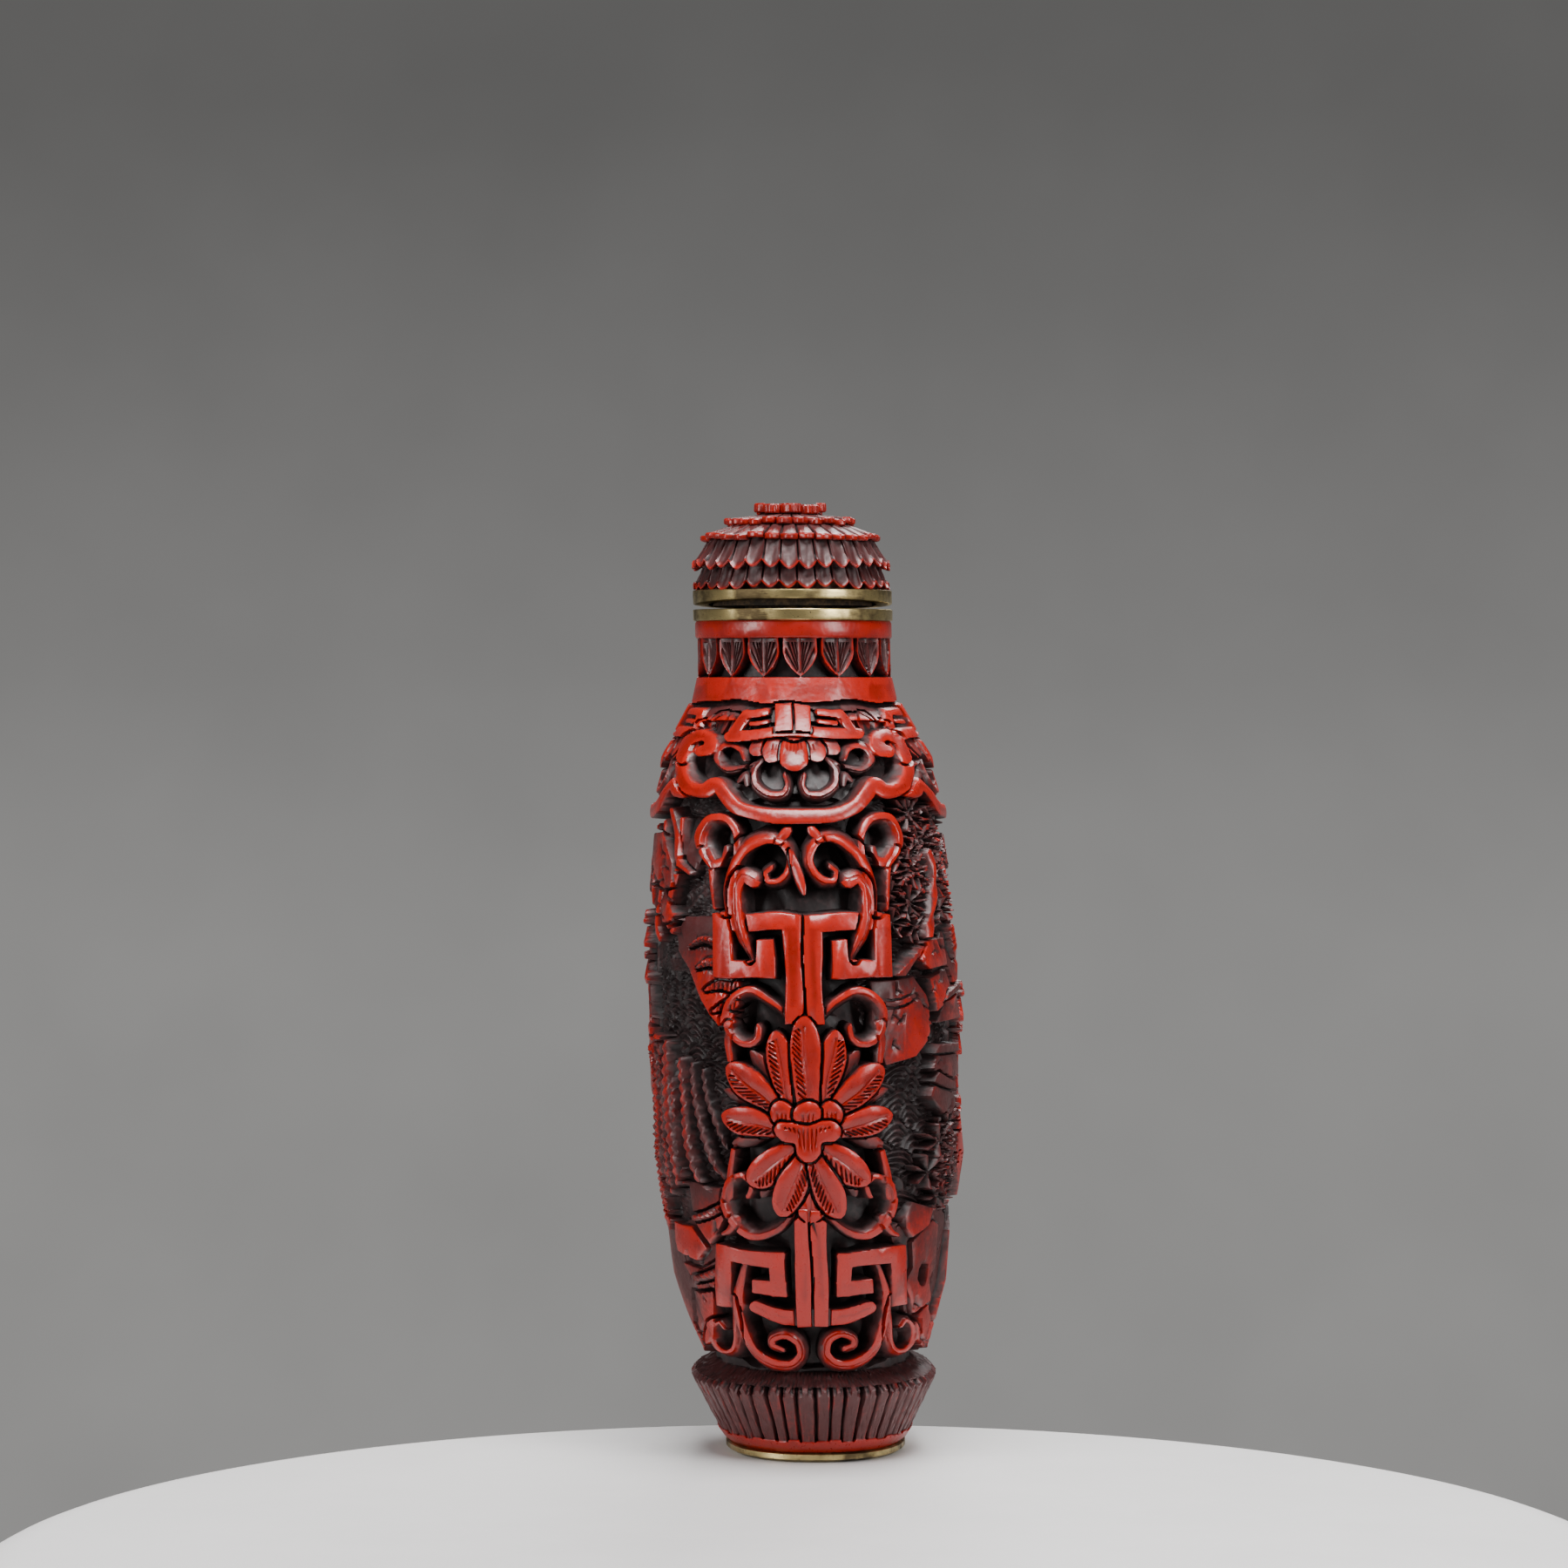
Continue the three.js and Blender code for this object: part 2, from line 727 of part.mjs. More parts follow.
// Cap as a flower of overlapping petal skirts: radius and height on a petal's ridge, then in the groove.
function stopperCap() {
  const rows = [
    [8.4, CAP_BOTTOM, 7.9, CAP_BOTTOM],
    [7.7, 76.1, 7.5, 76.2],
    [8.6, 76.2, 8.05, 76.8],
    [7.2, 78.5, 7.0, 78.6],
    [7.9, 78.6, 7.3, 79.1],
    [6.6, 79.8, 6.3, 79.7],
    [4.9, 79.9, 4.8, 79.9],
    [5.75, 80.4, 5.1, 80.5],
    [3.2, 81.0, 3.1, 80.9],
    [3.05, 81.4, 2.6, 81.5],
    [2.6, TOTAL_HEIGHT, 2.4, TOTAL_HEIGHT - 0.1],
  ];
  const rings = rows.map(([ridge, ridgeZ, groove, grooveZ]) => {
    const ring = [];
    for (let i = 0; i < 2 * CAP_PETALS; i++) {
      const angle = (Math.PI * i) / CAP_PETALS;
      const [r, z] = i % 2 ? [groove, grooveZ] : [ridge, ridgeZ];
      ring.push(new THREE.Vector3(r * Math.cos(angle), r * Math.sin(angle), z));
    }
    return ring;
  });
  return loft(rings);
}

// ---- assembly ----
const LACQUER = { color: 0xb5271a, roughness: 0.38, metalness: 0 };
const BRASS = { color: 0x8f7a3d, roughness: 0.42, metalness: 1 };
const CORK = { color: 0x1c1613, roughness: 0.85, metalness: 0 };

function piece(name, geometry, finish) {
  const leaning = meshData(geometry);
  const position = leaning.attributes.position;
  for (let i = 0; i < position.count; i++) {
    position.setX(i, position.getX(i) + LEAN * (LEAN_FROM - position.getZ(i)));
  }
  leaning.computeVertexNormals();
  const mesh = new THREE.Mesh(leaning, new THREE.MeshStandardMaterial(finish));
  mesh.name = name;
  return mesh;
}

const bottle = new THREE.Group();
bottle.add(
  piece("bottle_body", geometryOf(bottleBody()), LACQUER),
  piece("foot_plate", footPlate(), BRASS),
  piece("neck_rim", neckRim(), BRASS),
  piece("stopper_collar", stopperCollar(), BRASS),
  piece("stopper_plug", stopperPlug(), CORK),
  piece("stopper_cap", stopperCap(), LACQUER),
);

export default bottle;
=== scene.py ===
"""Carved red lacquer snuff bottle with a petalled stopper and brass fittings.

The body's relief is cut as a field of heights over its outer skin. The narrow sides carry frets, scrolls
and a lotus, the wide faces carry landscapes, and four lappets hang from the shoulder. Lengths in the
carving code are millimetres, and meshes are written in metres.
"""

import math

import bpy
import numpy as np
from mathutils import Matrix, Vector


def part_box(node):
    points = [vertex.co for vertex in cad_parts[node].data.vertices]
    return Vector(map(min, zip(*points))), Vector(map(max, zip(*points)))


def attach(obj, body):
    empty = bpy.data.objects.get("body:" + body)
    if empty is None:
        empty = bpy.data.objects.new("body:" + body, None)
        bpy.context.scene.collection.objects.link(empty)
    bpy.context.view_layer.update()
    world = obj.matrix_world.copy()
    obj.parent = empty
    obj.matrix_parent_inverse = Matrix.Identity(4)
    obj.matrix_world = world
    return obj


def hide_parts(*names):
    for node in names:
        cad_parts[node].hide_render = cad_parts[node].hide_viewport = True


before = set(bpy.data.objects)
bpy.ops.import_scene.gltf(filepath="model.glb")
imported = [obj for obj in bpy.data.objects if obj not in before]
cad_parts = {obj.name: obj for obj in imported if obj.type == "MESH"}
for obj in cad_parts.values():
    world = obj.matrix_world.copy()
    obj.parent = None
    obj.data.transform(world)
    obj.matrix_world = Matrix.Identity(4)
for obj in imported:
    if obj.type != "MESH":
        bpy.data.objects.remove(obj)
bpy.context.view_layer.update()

bl_info = {
    "name": "Carved lacquer snuff bottle",
    "version": (1, 0, 0),
    "blender": (4, 5, 0),
    "location": "View3D > Sidebar > Snuff bottle",
    "description": "Builds a flattened snuff bottle of carved red lacquer with brass fittings",
    "category": "Add Mesh",
}

MM = 0.001

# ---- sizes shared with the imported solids, mm ----
BODY_LOW, BODY_HIGH = (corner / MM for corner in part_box("bottle_body"))
PLATE_LOW, PLATE_HIGH = (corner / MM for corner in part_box("foot_plate"))
RIM_LOW, RIM_HIGH = (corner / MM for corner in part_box("neck_rim"))
COLLAR_LOW, COLLAR_HIGH = (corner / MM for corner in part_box("stopper_collar"))
CAP_LOW, CAP_HIGH = (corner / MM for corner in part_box("stopper_cap"))

LEAN = 0.0275  # the bottle stands slightly out of true, this much across for each mm up
LEAN_FROM = 39.4
SQUARENESS = 2.3  # exponent of the body's oval outline, where 2 is an ellipse
NECK_RADIUS = 8.5
BORE_RADIUS = 4.5
FOOT_BOTTOM = BODY_LOW.z
FLUTE_BOTTOM = 1.95
FLUTE_TOP = 6.55
CARVING_BOTTOM = 8.05
CARVING_TOP = 66.85
LEAVES_TOP = 70.25
NECK_BOTTOM = 62.7
LEDGE = 63.1  # lip under the flared band
NECK_TOP = RIM_LOW.z

# Outer skin of the carving: height, half thickness along X, half width along Y.
CARVED = (
    (8.0, 10.0, 13.0),
    (9.2, 10.1, 13.4),
    (12.2, 11.1, 15.2),
    (15.2, 12.1, 17.0),
    (20.0, 12.9, 19.0),
    (26.0, 13.5, 20.6),
    (33.0, 13.6, 21.2),
    (40.0, 13.9, 21.3),
    (46.0, 13.7, 20.6),
    (51.0, 13.2, 19.2),
    (54.0, 12.8, 17.9),
    (57.0, 12.6, 16.4),
    (60.0, 11.7, 14.2),
    (62.5, 10.3, 11.8),
    (65.0, 8.9, 9.4),
    (CARVING_TOP, NECK_RADIUS, 8.6),
)
# Plain foot below the carving, in the same columns.
FOOT = (
    (FOOT_BOTTOM, 7.6, 10.0),
    (FOOT_BOTTOM + 0.15, 7.9, 10.3),
    (FLUTE_BOTTOM, 8.5, 11.0),
    (FLUTE_TOP, 10.8, 13.95),
    (FLUTE_TOP + 0.35, 10.45, 13.6),
    (8.0, 8.5, 11.5),
)
# Inside of the bottle, from the bottom of the hollow to the mouth.
HOLLOW = (
    (9.5, 3.0, 5.0),
    (13.0, 5.2, 8.4),
    (24.0, 7.4, 13.8),
    (40.0, 7.8, 14.8),
    (54.0, 6.2, 10.2),
    (60.0, 4.9, 6.2),
    (64.0, BORE_RADIUS, BORE_RADIUS),
    (NECK_TOP, BORE_RADIUS, BORE_RADIUS),
)

# ---- settings that a user would change ----
class BottleCarving(bpy.types.PropertyGroup):
    """Fineness of the carved surface."""

    cell: bpy.props.FloatProperty(
        name="Cell",
        description="Size of a cell of the carving on the narrow sides",
        default=0.00009,
        min=0.00005,
        subtype="DISTANCE",
        unit="LENGTH",
    )
    faces: bpy.props.IntProperty(
        name="Faces",
        description="Triangles that the body is reduced to",
        default=192000,
        min=20000,
        max=198000,
    )
    unevenness: bpy.props.FloatProperty(
        name="Unevenness",
        description="How far the knife strays from a drawn line",
        default=0.00011,
        subtype="DISTANCE",
        unit="LENGTH",
    )


class BottleFinish(bpy.types.PropertyGroup):
    """Colours of the lacquer and the brass."""

    lacquer: bpy.props.FloatVectorProperty(
        name="Lacquer",
        description="Cinnabar red of the raised faces",
        default=(0.235, 0.0050, 0.0016),
        size=3,
        subtype="COLOR",
    )
    # painted shade and stain: dull red that walls and lower faces darken to as shade, also the colour of
    # small stains
    slope: bpy.props.FloatVectorProperty(
        name="Slope",
        description="Purplish red of the walls and lower faces",
        default=(0.050, 0.0065, 0.0065),
        size=3,
        subtype="COLOR",
    )
    # painted shade: near black for the deep ground, holes and the bottle's inside, standing in for the shade
    # there
    recess_shade: bpy.props.FloatVectorProperty(
        name="Recess",
        description="Near black of the deep ground",
        default=(0.0080, 0.0024, 0.0027),
        size=3,
        subtype="COLOR",
    )
    residue: bpy.props.FloatVectorProperty(
        name="Residue",
        description="Grey-violet wax that has dried in the recesses",
        default=(0.085, 0.036, 0.037),
        size=3,
        subtype="COLOR",
    )
    brass: bpy.props.FloatVectorProperty(
        name="Brass",
        description="Olive gold of the fittings",
        default=(0.55, 0.43, 0.19),
        size=3,
        subtype="COLOR",
    )
    tarnish: bpy.props.FloatVectorProperty(
        name="Tarnish",
        description="Brown of the tarnish on the brass",
        default=(0.07, 0.05, 0.025),
        size=3,
        subtype="COLOR",
    )


class BottleStage(bpy.types.PropertyGroup):
    """Stand, light and camera."""

    stand: bpy.props.FloatVectorProperty(
        name="Stand",
        description="Pale frosted plate under the bottle",
        default=(0.59, 0.575, 0.57),
        size=3,
        subtype="COLOR",
    )
    stand_radius: bpy.props.FloatProperty(
        name="Stand radius",
        description="Radius of the round plate",
        default=0.067,
        subtype="DISTANCE",
        unit="LENGTH",
    )
    stand_rear: bpy.props.FloatProperty(
        name="Stand rear",
        description="How far the plate reaches behind the bottle's middle",
        default=0.0175,
        subtype="DISTANCE",
        unit="LENGTH",
    )
    distance: bpy.props.FloatProperty(
        name="Distance",
        description="From the camera to the bottle's axis",
        default=0.416,
        subtype="DISTANCE",
        unit="LENGTH",
    )
    eye_height: bpy.props.FloatProperty(
        name="Eye height",
        description="Height of the camera over the stand",
        default=0.067,
        subtype="DISTANCE",
        unit="LENGTH",
    )
    view_width: bpy.props.FloatProperty(
        name="View width",
        description="Width seen at the bottle's axis",
        default=0.1363,
        subtype="DISTANCE",
        unit="LENGTH",
    )


# ---- curves and outlines, as arrays of (across, up) in mm ----
def curve(points, closed=False, steps=10):
    """Points of a smooth curve through the given ones."""
    given = np.asarray(points, float)
    if closed:
        padded = np.vstack([given[-1:], given, given[:2]])
    else:
        padded = np.vstack([2 * given[0] - given[1], given, 2 * given[-1] - given[-2]])
    t = np.linspace(0, 1, steps, endpoint=False)[:, None]
    parts = []
    for a, b, c, d in zip(padded, padded[1:], padded[2:], padded[3:]):
        cubic = -a + 3 * b - 3 * c + d
        square = 2 * a - 5 * b + 4 * c - d
        parts.append(0.5 * (2 * b + (c - a) * t + square * t**2 + cubic * t**3))
    if not closed:
        parts.append(given[-1:])
    return np.vstack(parts)


def circle(centre, radius, start=0.0, end=360.0, points=9):
    """Points of an arc, angles in degrees counter-clockwise from the right."""
    angles = np.radians(np.linspace(start, end, points))
    return [(centre[0] + radius * math.cos(t), centre[1] + radius * math.sin(t)) for t in angles]


def mirrored(points):
    """The points on the other side of the middle line."""
    return [(-a, u) for a, u in points]


def step_up(value):
    """0 below 0, 1 above 1, smooth between."""
    t = np.clip(value, 0, 1)
    return t * t * (3 - 2 * t)


def along_line(line, a, u):
    """Distance to a line, share of its run at the nearest point, and +1 left of the way along or -1 right."""
    start = line[:-1]
    step = np.diff(line, axis=0)
    length = np.maximum(np.hypot(step[:, 0], step[:, 1]), 1e-9)
    da = a[:, None] - start[:, 0]
    du = u[:, None] - start[:, 1]
    t = np.clip((da * step[:, 0] + du * step[:, 1]) / length**2, 0, 1)
    off = np.hypot(da - t * step[:, 0], du - t * step[:, 1])
    nearest = off.argmin(1)
    each = np.arange(len(a))
    run = np.concatenate([[0], np.cumsum(length)])
    share = (run[nearest] + t[each, nearest] * length[nearest]) / run[-1]
    turn = step[nearest, 0] * du[each, nearest] - step[nearest, 1] * da[each, nearest]
    return off[each, nearest], share, np.where(turn >= 0, 1.0, -1.0)


def is_inside(line, a, u):
    """Whether points lie inside a closed line."""
    inside = np.zeros(len(a), bool)
    for (a0, u0), (a1, u1) in zip(line, np.roll(line, -1, axis=0)):
        if u0 == u1:
            continue
        crosses = (u0 > u) != (u1 > u)
        inside ^= crosses & (a < (a1 - a0) * (u - u0) / (u1 - u0) + a0)
    return inside


def ripple(a, u, scale, seed):
    """Slow unevenness from -1 to 1 over the two coordinates, with waves about scale long."""
    chance = np.random.default_rng(seed)
    total = np.zeros(np.broadcast(a, u).shape)
    for _ in range(6):
        turn = chance.uniform(0, 2 * math.pi)
        wave = 2 * math.pi / (scale * chance.uniform(0.6, 1.6))
        shift = chance.uniform(0, 2 * math.pi)
        total += np.sin((a * math.cos(turn) + u * math.sin(turn)) * wave + shift)
    return total / 3.5


# ---- carving ----
WALL_DROP = 3.2  # a wall is cut down this far, so it always meets the ground
WALL_RUN = 0.2  # and leans out by this much
EDGE_DROP = 0.09  # edges are worn round by this much


class Face:
    """One side of the bottle as a sheet to carve.

    The cut is in mm, 0 on the skin and negative below it. A second sheet darkens the red as that much depth
    would: duller tone and dirt on some forms, and painted shade on steep walls, in gaps and under overhangs.
    """

    def __init__(self, across, up, cut, soil, unevenness):
        self.rows_up = up[:, 0]
        stray = unevenness / MM
        self.across = across + stray * ripple(across, up, 5.0, 3)
        self.up = up + stray * ripple(across, up, 4.0, 4)
        self.cut = cut
        self.soil = soil

    def window(self, low, high, margin):
        """Slices of the rows and columns that hold a box."""
        first, last = np.searchsorted(self.rows_up, (low[1] - margin, high[1] + margin))
        if first >= last:
            return None
        block = self.across[first:last]
        columns = np.nonzero(((block > low[0] - margin) & (block < high[0] + margin)).any(0))[0]
        if not len(columns):
            return None
        return slice(first, last), slice(columns[0], columns[-1] + 1)

    def part(self, low, high, margin=0.8):
        """Window, and its points as flat arrays, or None where the face doesn't reach."""
        found = self.window(low, high, margin)
        if found is None:
            return None
        return found, self.across[found].ravel(), self.up[found].ravel()

    def raise_form(self, low, high, form, moat=0.6, moat_width=0.22, edge=WALL_RUN, soft=0.14, soil=0.0):
        """Raises what form(across, up) gives as a distance outside its outline and a top, and cuts a moat."""
        part = self.part(low, high)
        if part is None:
            return
        found, a, u = part
        off, top = form(a, u)
        rounded = top - EDGE_DROP * np.clip(1 + off / soft, 0, 1) ** 2
        wall = np.where(off < 0, rounded, top - EDGE_DROP - WALL_DROP * off / edge)
        wall = np.where(off < edge, wall, -9.0)
        ditch = np.where(off < moat_width, top - moat, 9.0)
        cut = self.cut[found].ravel()
        cut = np.where((off > 0) & (off < moat_width + 0.1), np.minimum(cut, ditch), cut)
        shape = self.cut[found].shape
        self.soil[found] = np.where((wall > cut).reshape(shape), soil, self.soil[found])
        self.cut[found] = np.maximum(cut, wall).reshape(shape)

    def lower_form(self, low, high, form):
        """Cuts down to what form(across, up) gives where that is below the present cut."""
        part = self.part(low, high)
        if part is None:
            return
        found, a, u = part
        self.cut[found] = np.minimum(self.cut[found], form(a, u).reshape(self.cut[found].shape))

    def texture(self, low, high, change):
        """Adds change(across, up, cut) to the cut inside a box."""
        part = self.part(low, high, 0.0)
        if part is None:
            return
        found, a, u = part
        cut = self.cut[found].ravel()
        self.cut[found] = (cut + change(a, u, cut)).reshape(self.cut[found].shape)

    def ribbon(self, route, widths, top=0.0, rim=0, shelf=1.0, crown=0.08, **how):
        """Band along a route. rim is +1 or -1 where it slopes down from a flat rim on its left or right."""
        line = curve(route)
        widths = np.atleast_1d(np.asarray(widths, float))
        tops = np.atleast_1d(np.asarray(top, float))

        def form(a, u):
            off, share, side = along_line(line, a, u)
            half = np.interp(share, np.linspace(0, 1, len(widths)), widths) / 2
            height = np.interp(share, np.linspace(0, 1, len(tops)), tops)
            place = np.minimum(off / np.maximum(half, 1e-3), 1)
            height = height - crown * place**2
            if rim:
                inward = -rim * side * place
                height = height - shelf * np.clip((inward + 0.1) / 1.1, 0, 1)
                height = height - 0.16 * np.exp(-(((inward - 0.02) / 0.13) ** 2))
            return off - half, height

        reach = widths.max() / 2
        self.raise_form(line.min(0) - reach, line.max(0) + reach, form, **how)

    def bar(self, corners, width, top=0.0, **how):
        """Straight-edged band with square corners and ends."""
        points = np.asarray(corners, float)
        for start, end in zip(points, points[1:]):
            step = (end - start) / np.hypot(*(end - start))
            side = np.array([-step[1], step[0]]) * width / 2
            reach = step * width / 2
            first, last = start - reach, end + reach
            self.block([first + side, first - side, last - side, last + side], top, moat=0.0, **how)

    def block(self, outline, top=0.0, tilt=(0.0, 0.0), **how):
        """Flat form with straight edges, which may tilt across and up."""
        line = np.asarray(outline, float)
        ring = np.vstack([line, line[:1]])
        middle = line.mean(0)

        def form(a, u):
            off = along_line(ring, a, u)[0]
            off = np.where(is_inside(line, a, u), -off, off)
            height = top + tilt[0] * (a - middle[0]) + tilt[1] * (u - middle[1])
            return off, height

        self.raise_form(line.min(0), line.max(0), form, **how)

    def blob(self, outline, top=0.0, dome=0.0, **how):
        """Form with a smooth outline, which may swell to its middle."""
        line = curve(outline, closed=True)
        ring = np.vstack([line, line[:1]])

        def form(a, u):
            off = along_line(ring, a, u)[0]
            off = np.where(is_inside(line, a, u), -off, off)
            return off, top + dome * (1 - np.exp(np.minimum(off, 0) / 0.6))

        self.raise_form(line.min(0), line.max(0), form, **how)

    def stroke(self, start, end, width=0.14, depth=0.18):
        """Incised line that fades to its ends."""
        line = np.array([start, end], float)

        def form(a, u):
            off, share, _ = along_line(line, a, u)
            fade = np.minimum(1, 4 * np.minimum(share, 1 - share) + 0.25)
            return -depth * fade * np.exp(-((off / (0.6 * width)) ** 2))

        part = self.part(line.min(0), line.max(0), 0.3)
        if part is None:
            return
        found, a, u = part
        self.cut[found] += form(a, u).reshape(self.cut[found].shape)

    def petal(self, base, tip, width, top=0.0, veins=0, waist=0.34, lean=0.0, vein_gap=0.44, **how):
        """Petal or leaf from base to tip. veins is +1 or -1 to hatch its left or right half. lean tips it."""
        base = np.asarray(base, float)
        along = np.asarray(tip, float) - base
        length = np.hypot(*along)
        along = along / length

        def form(a, u):
            t = ((a - base[0]) * along[0] + (u - base[1]) * along[1]) / length
            b = (u - base[1]) * along[0] - (a - base[0]) * along[1]
            inner = np.clip(t, 0, 1)
            swell = waist + (1 - waist) * np.sin(np.minimum(inner / 0.62, 1) * math.pi / 2)
            close = np.sqrt(np.maximum(1 - np.clip((inner - 0.62) / 0.38, 0, 1) ** 1.7, 0))
            half = width / 2 * swell * close
            beyond = np.maximum(np.maximum(-t, t - 1), 0) * length
            off = np.hypot(np.maximum(np.abs(b) - half, 0), beyond)
            off = np.where((np.abs(b) < half) & (beyond == 0), np.abs(b) - half, off)
            share = np.clip(np.abs(b) / np.maximum(half, 1e-3), 0, 1)
            height = top - 0.3 * (1 - inner) ** 2 - 0.06 * share**2 + lean * np.clip(b, -half, half)
            if veins:
                height = height - 0.12 * np.exp(-((b / 0.1) ** 2)) * (inner < 0.9)
                phase = ((inner * length - np.abs(b) * 1.1) / vein_gap) % 1.0
                cut = np.exp(-(((phase - 0.5) / 0.2) ** 2)) * step_up((share - 0.12) / 0.2)
                where = (share < 0.8) & (b * veins > 0) & (inner > 0.12) & (inner < 0.88)
                height = height - 0.3 * cut * where
            return off, height

        low = np.minimum(base, base + along * length) - width / 2
        high = np.maximum(base, base + along * length) + width / 2
        self.raise_form(low, high, form, **how)


# ---- ornament of the narrow sides ----
def pair(draw, points, *args, **how):
    """Draws a form with the given points and its mirror image."""
    draw(points, *args, **how)
    if "rim" in how:
        how["rim"] = -how["rim"]
    draw(mirrored(points), *args, **how)


def carve_panel_ground(face):
    """Deep ground behind the openwork of a narrow side."""
    outline = [
        (0, 8.0), (7.5, 8.4), (8.4, 14), (7.7, 18.5), (6.9, 22), (6.8, 30), (6.6, 36), (5.6, 38.5),
        (5.4, 41.5),
    ]
    outline += [(6.4, 43), (6.6, 47), (7.6, 50), (8.2, 53), (7.0, 56), (0, 57.5)]
    outline += mirrored(outline[-2:0:-1])
    line = curve(outline, closed=True)
    ring = np.vstack([line, line[:1]])

    def form(a, u):
        off = along_line(ring, a, u)[0]
        off = np.where(is_inside(line, a, u), -off, off)
        floor = -2.5 + 0.18 * ripple(a, u, 3.0, 11)
        return np.where(off < 0, floor + 1.2 * step_up(1 + off / 0.8), 9.0)

    face.lower_form(line.min(0), line.max(0), form)


def carve_upper_fret(face):
    """Column and key of the fret over the lotus."""
    pair(face.block, [(0.09, 38.2), (1.62, 38.2), (1.6, 47.3), (0.09, 47.3)], top=0.0)
    pair(face.bar, [(1.2, 46.6), (6.7, 46.6), (6.75, 42.7), (3.1, 42.7), (3.1, 44.4)], 1.45, top=0.02)


def carve_upper_scrolls(face):
    """Scrolls and ribbons over the upper fret."""
    outer = [(7.2, 47.7), (7.35, 49.6), (7.45, 51.2), (8.1, 52.2), (8.3, 53.6), (7.6, 54.8), (6.3, 54.8)]
    outer += [(5.6, 53.7), (5.6, 52.3)]
    pair(face.ribbon, outer, (0.6, 0.8, 1.1, 1.3, 1.25, 0.9), top=(-0.1, -0.1, 0, 0, -0.2), rim=-1, shelf=1.3)
    hook = [(8.1, 52.3), (7.4, 51.4), (6.6, 51.7), (6.45, 52.6)]
    pair(face.ribbon, hook, (0.9, 0.8, 0.6), top=(-0.3, -0.2, -0.5), moat=0.0)
    inner = [(6.3, 47.6), (6.33, 49.4), (5.7, 51.4), (4.45, 53.0), (2.7, 53.8), (1.2, 53.3), (0.55, 51.9)]
    inner += [(0.95, 50.6), (1.9, 49.75), (2.9, 49.8), (3.2, 50.7), (2.7, 51.2)]
    widths = (1.2, 1.3, 1.35, 1.35, 1.3, 1.2, 1.1, 0.95, 0.8)
    pair(face.ribbon, inner, widths, top=(0.05, 0.1, 0.1, 0.05, 0, -0.05, -0.15), rim=1, shelf=1.2)
    for side in (-1, 1):
        face.petal((1.9 * side, 53.1), (0.75 * side, 54.5), 0.9, top=-0.05, moat=0)
    face.petal((-0.75, 52.6), (0.3, 48.8), 0.95, top=0.0, lean=0.3, moat=0.2)
    ribbon = [(3.95, 50.1), (4.9, 50.4), (5.5, 49.4), (5.55, 47.6), (5.3, 46.0), (4.75, 44.4), (4.4, 43.6)]
    widths = (1.35, 1.05, 0.95, 1.0, 1.05, 1.0, 0.7)
    pair(face.ribbon, ribbon, widths, top=(0.0, 0.1, 0.25, 0.3, 0.25, -0.5), rim=-1, shelf=0.5, moat=0.7)


def carve_middle_scrolls(face):
    """Scrolls that spring from the fret's column over the lotus."""
    over = [(1.7, 38.9), (2.9, 39.9), (4.4, 40.7), (5.9, 40.1), (6.5, 38.7), (6.1, 37.3), (5.1, 36.7)]
    over += [(4.3, 37.0), (4.1, 37.8)]
    pair(
        face.ribbon, over, (0.9, 1.1, 1.15, 1.1, 1.1, 1.0, 0.9), top=(-0.3, 0, 0.05, 0, -0.1), rim=1,
        shelf=1.3,
    )
    pair(
        face.ribbon, [(6.35, 38.0), (6.6, 36.6), (6.4, 35.0), (6.6, 33.6)], (0.8, 0.7, 0.35), top=-0.2,
        moat=0.0,
    )
    under = [(1.6, 22.3), (3.0, 21.1), (4.8, 20.6), (6.2, 21.4), (6.95, 22.9), (6.8, 24.4), (5.8, 25.2)]
    under += [(5.1, 24.6), (5.3, 23.9)]
    pair(
        face.ribbon, under, (0.9, 1.2, 1.3, 1.2, 1.1, 1.0, 0.8), top=(-0.5, -0.3, -0.1, 0, 0, -0.1), rim=-1,
        shelf=1.3,
    )
    pair(face.ribbon, [(6.9, 23.6), (6.75, 25.6), (6.35, 27.8)], (0.8, 0.6, 0.4), top=-0.2, moat=0.0)
    pair(face.ribbon, [(6.3, 21.6), (6.9, 20.6), (7.6, 20.2)], (0.9, 0.7, 0.4), top=-0.3, moat=0.0)


BACK_PETALS = (
    ((2.2, 32.3), (4.7, 36.0), 1.5),
    ((3.2, 31.0), (7.2, 32.6), 1.2),
    ((3.0, 28.9), (6.6, 28.1), 1.25),
    ((1.9, 27.5), (4.15, 23.7), 1.2),
)
FRONT_PETALS = (
    ((1.45, 31.6), (2.65, 37.7), 2.4),
    ((2.4, 31.0), (6.5, 34.6), 2.6),
    ((2.4, 29.2), (7.1, 30.6), 2.4),
    ((1.1, 28.0), (5.0, 24.8), 2.6),
    ((0.35, 27.4), (2.5, 22.0), 2.6),
)


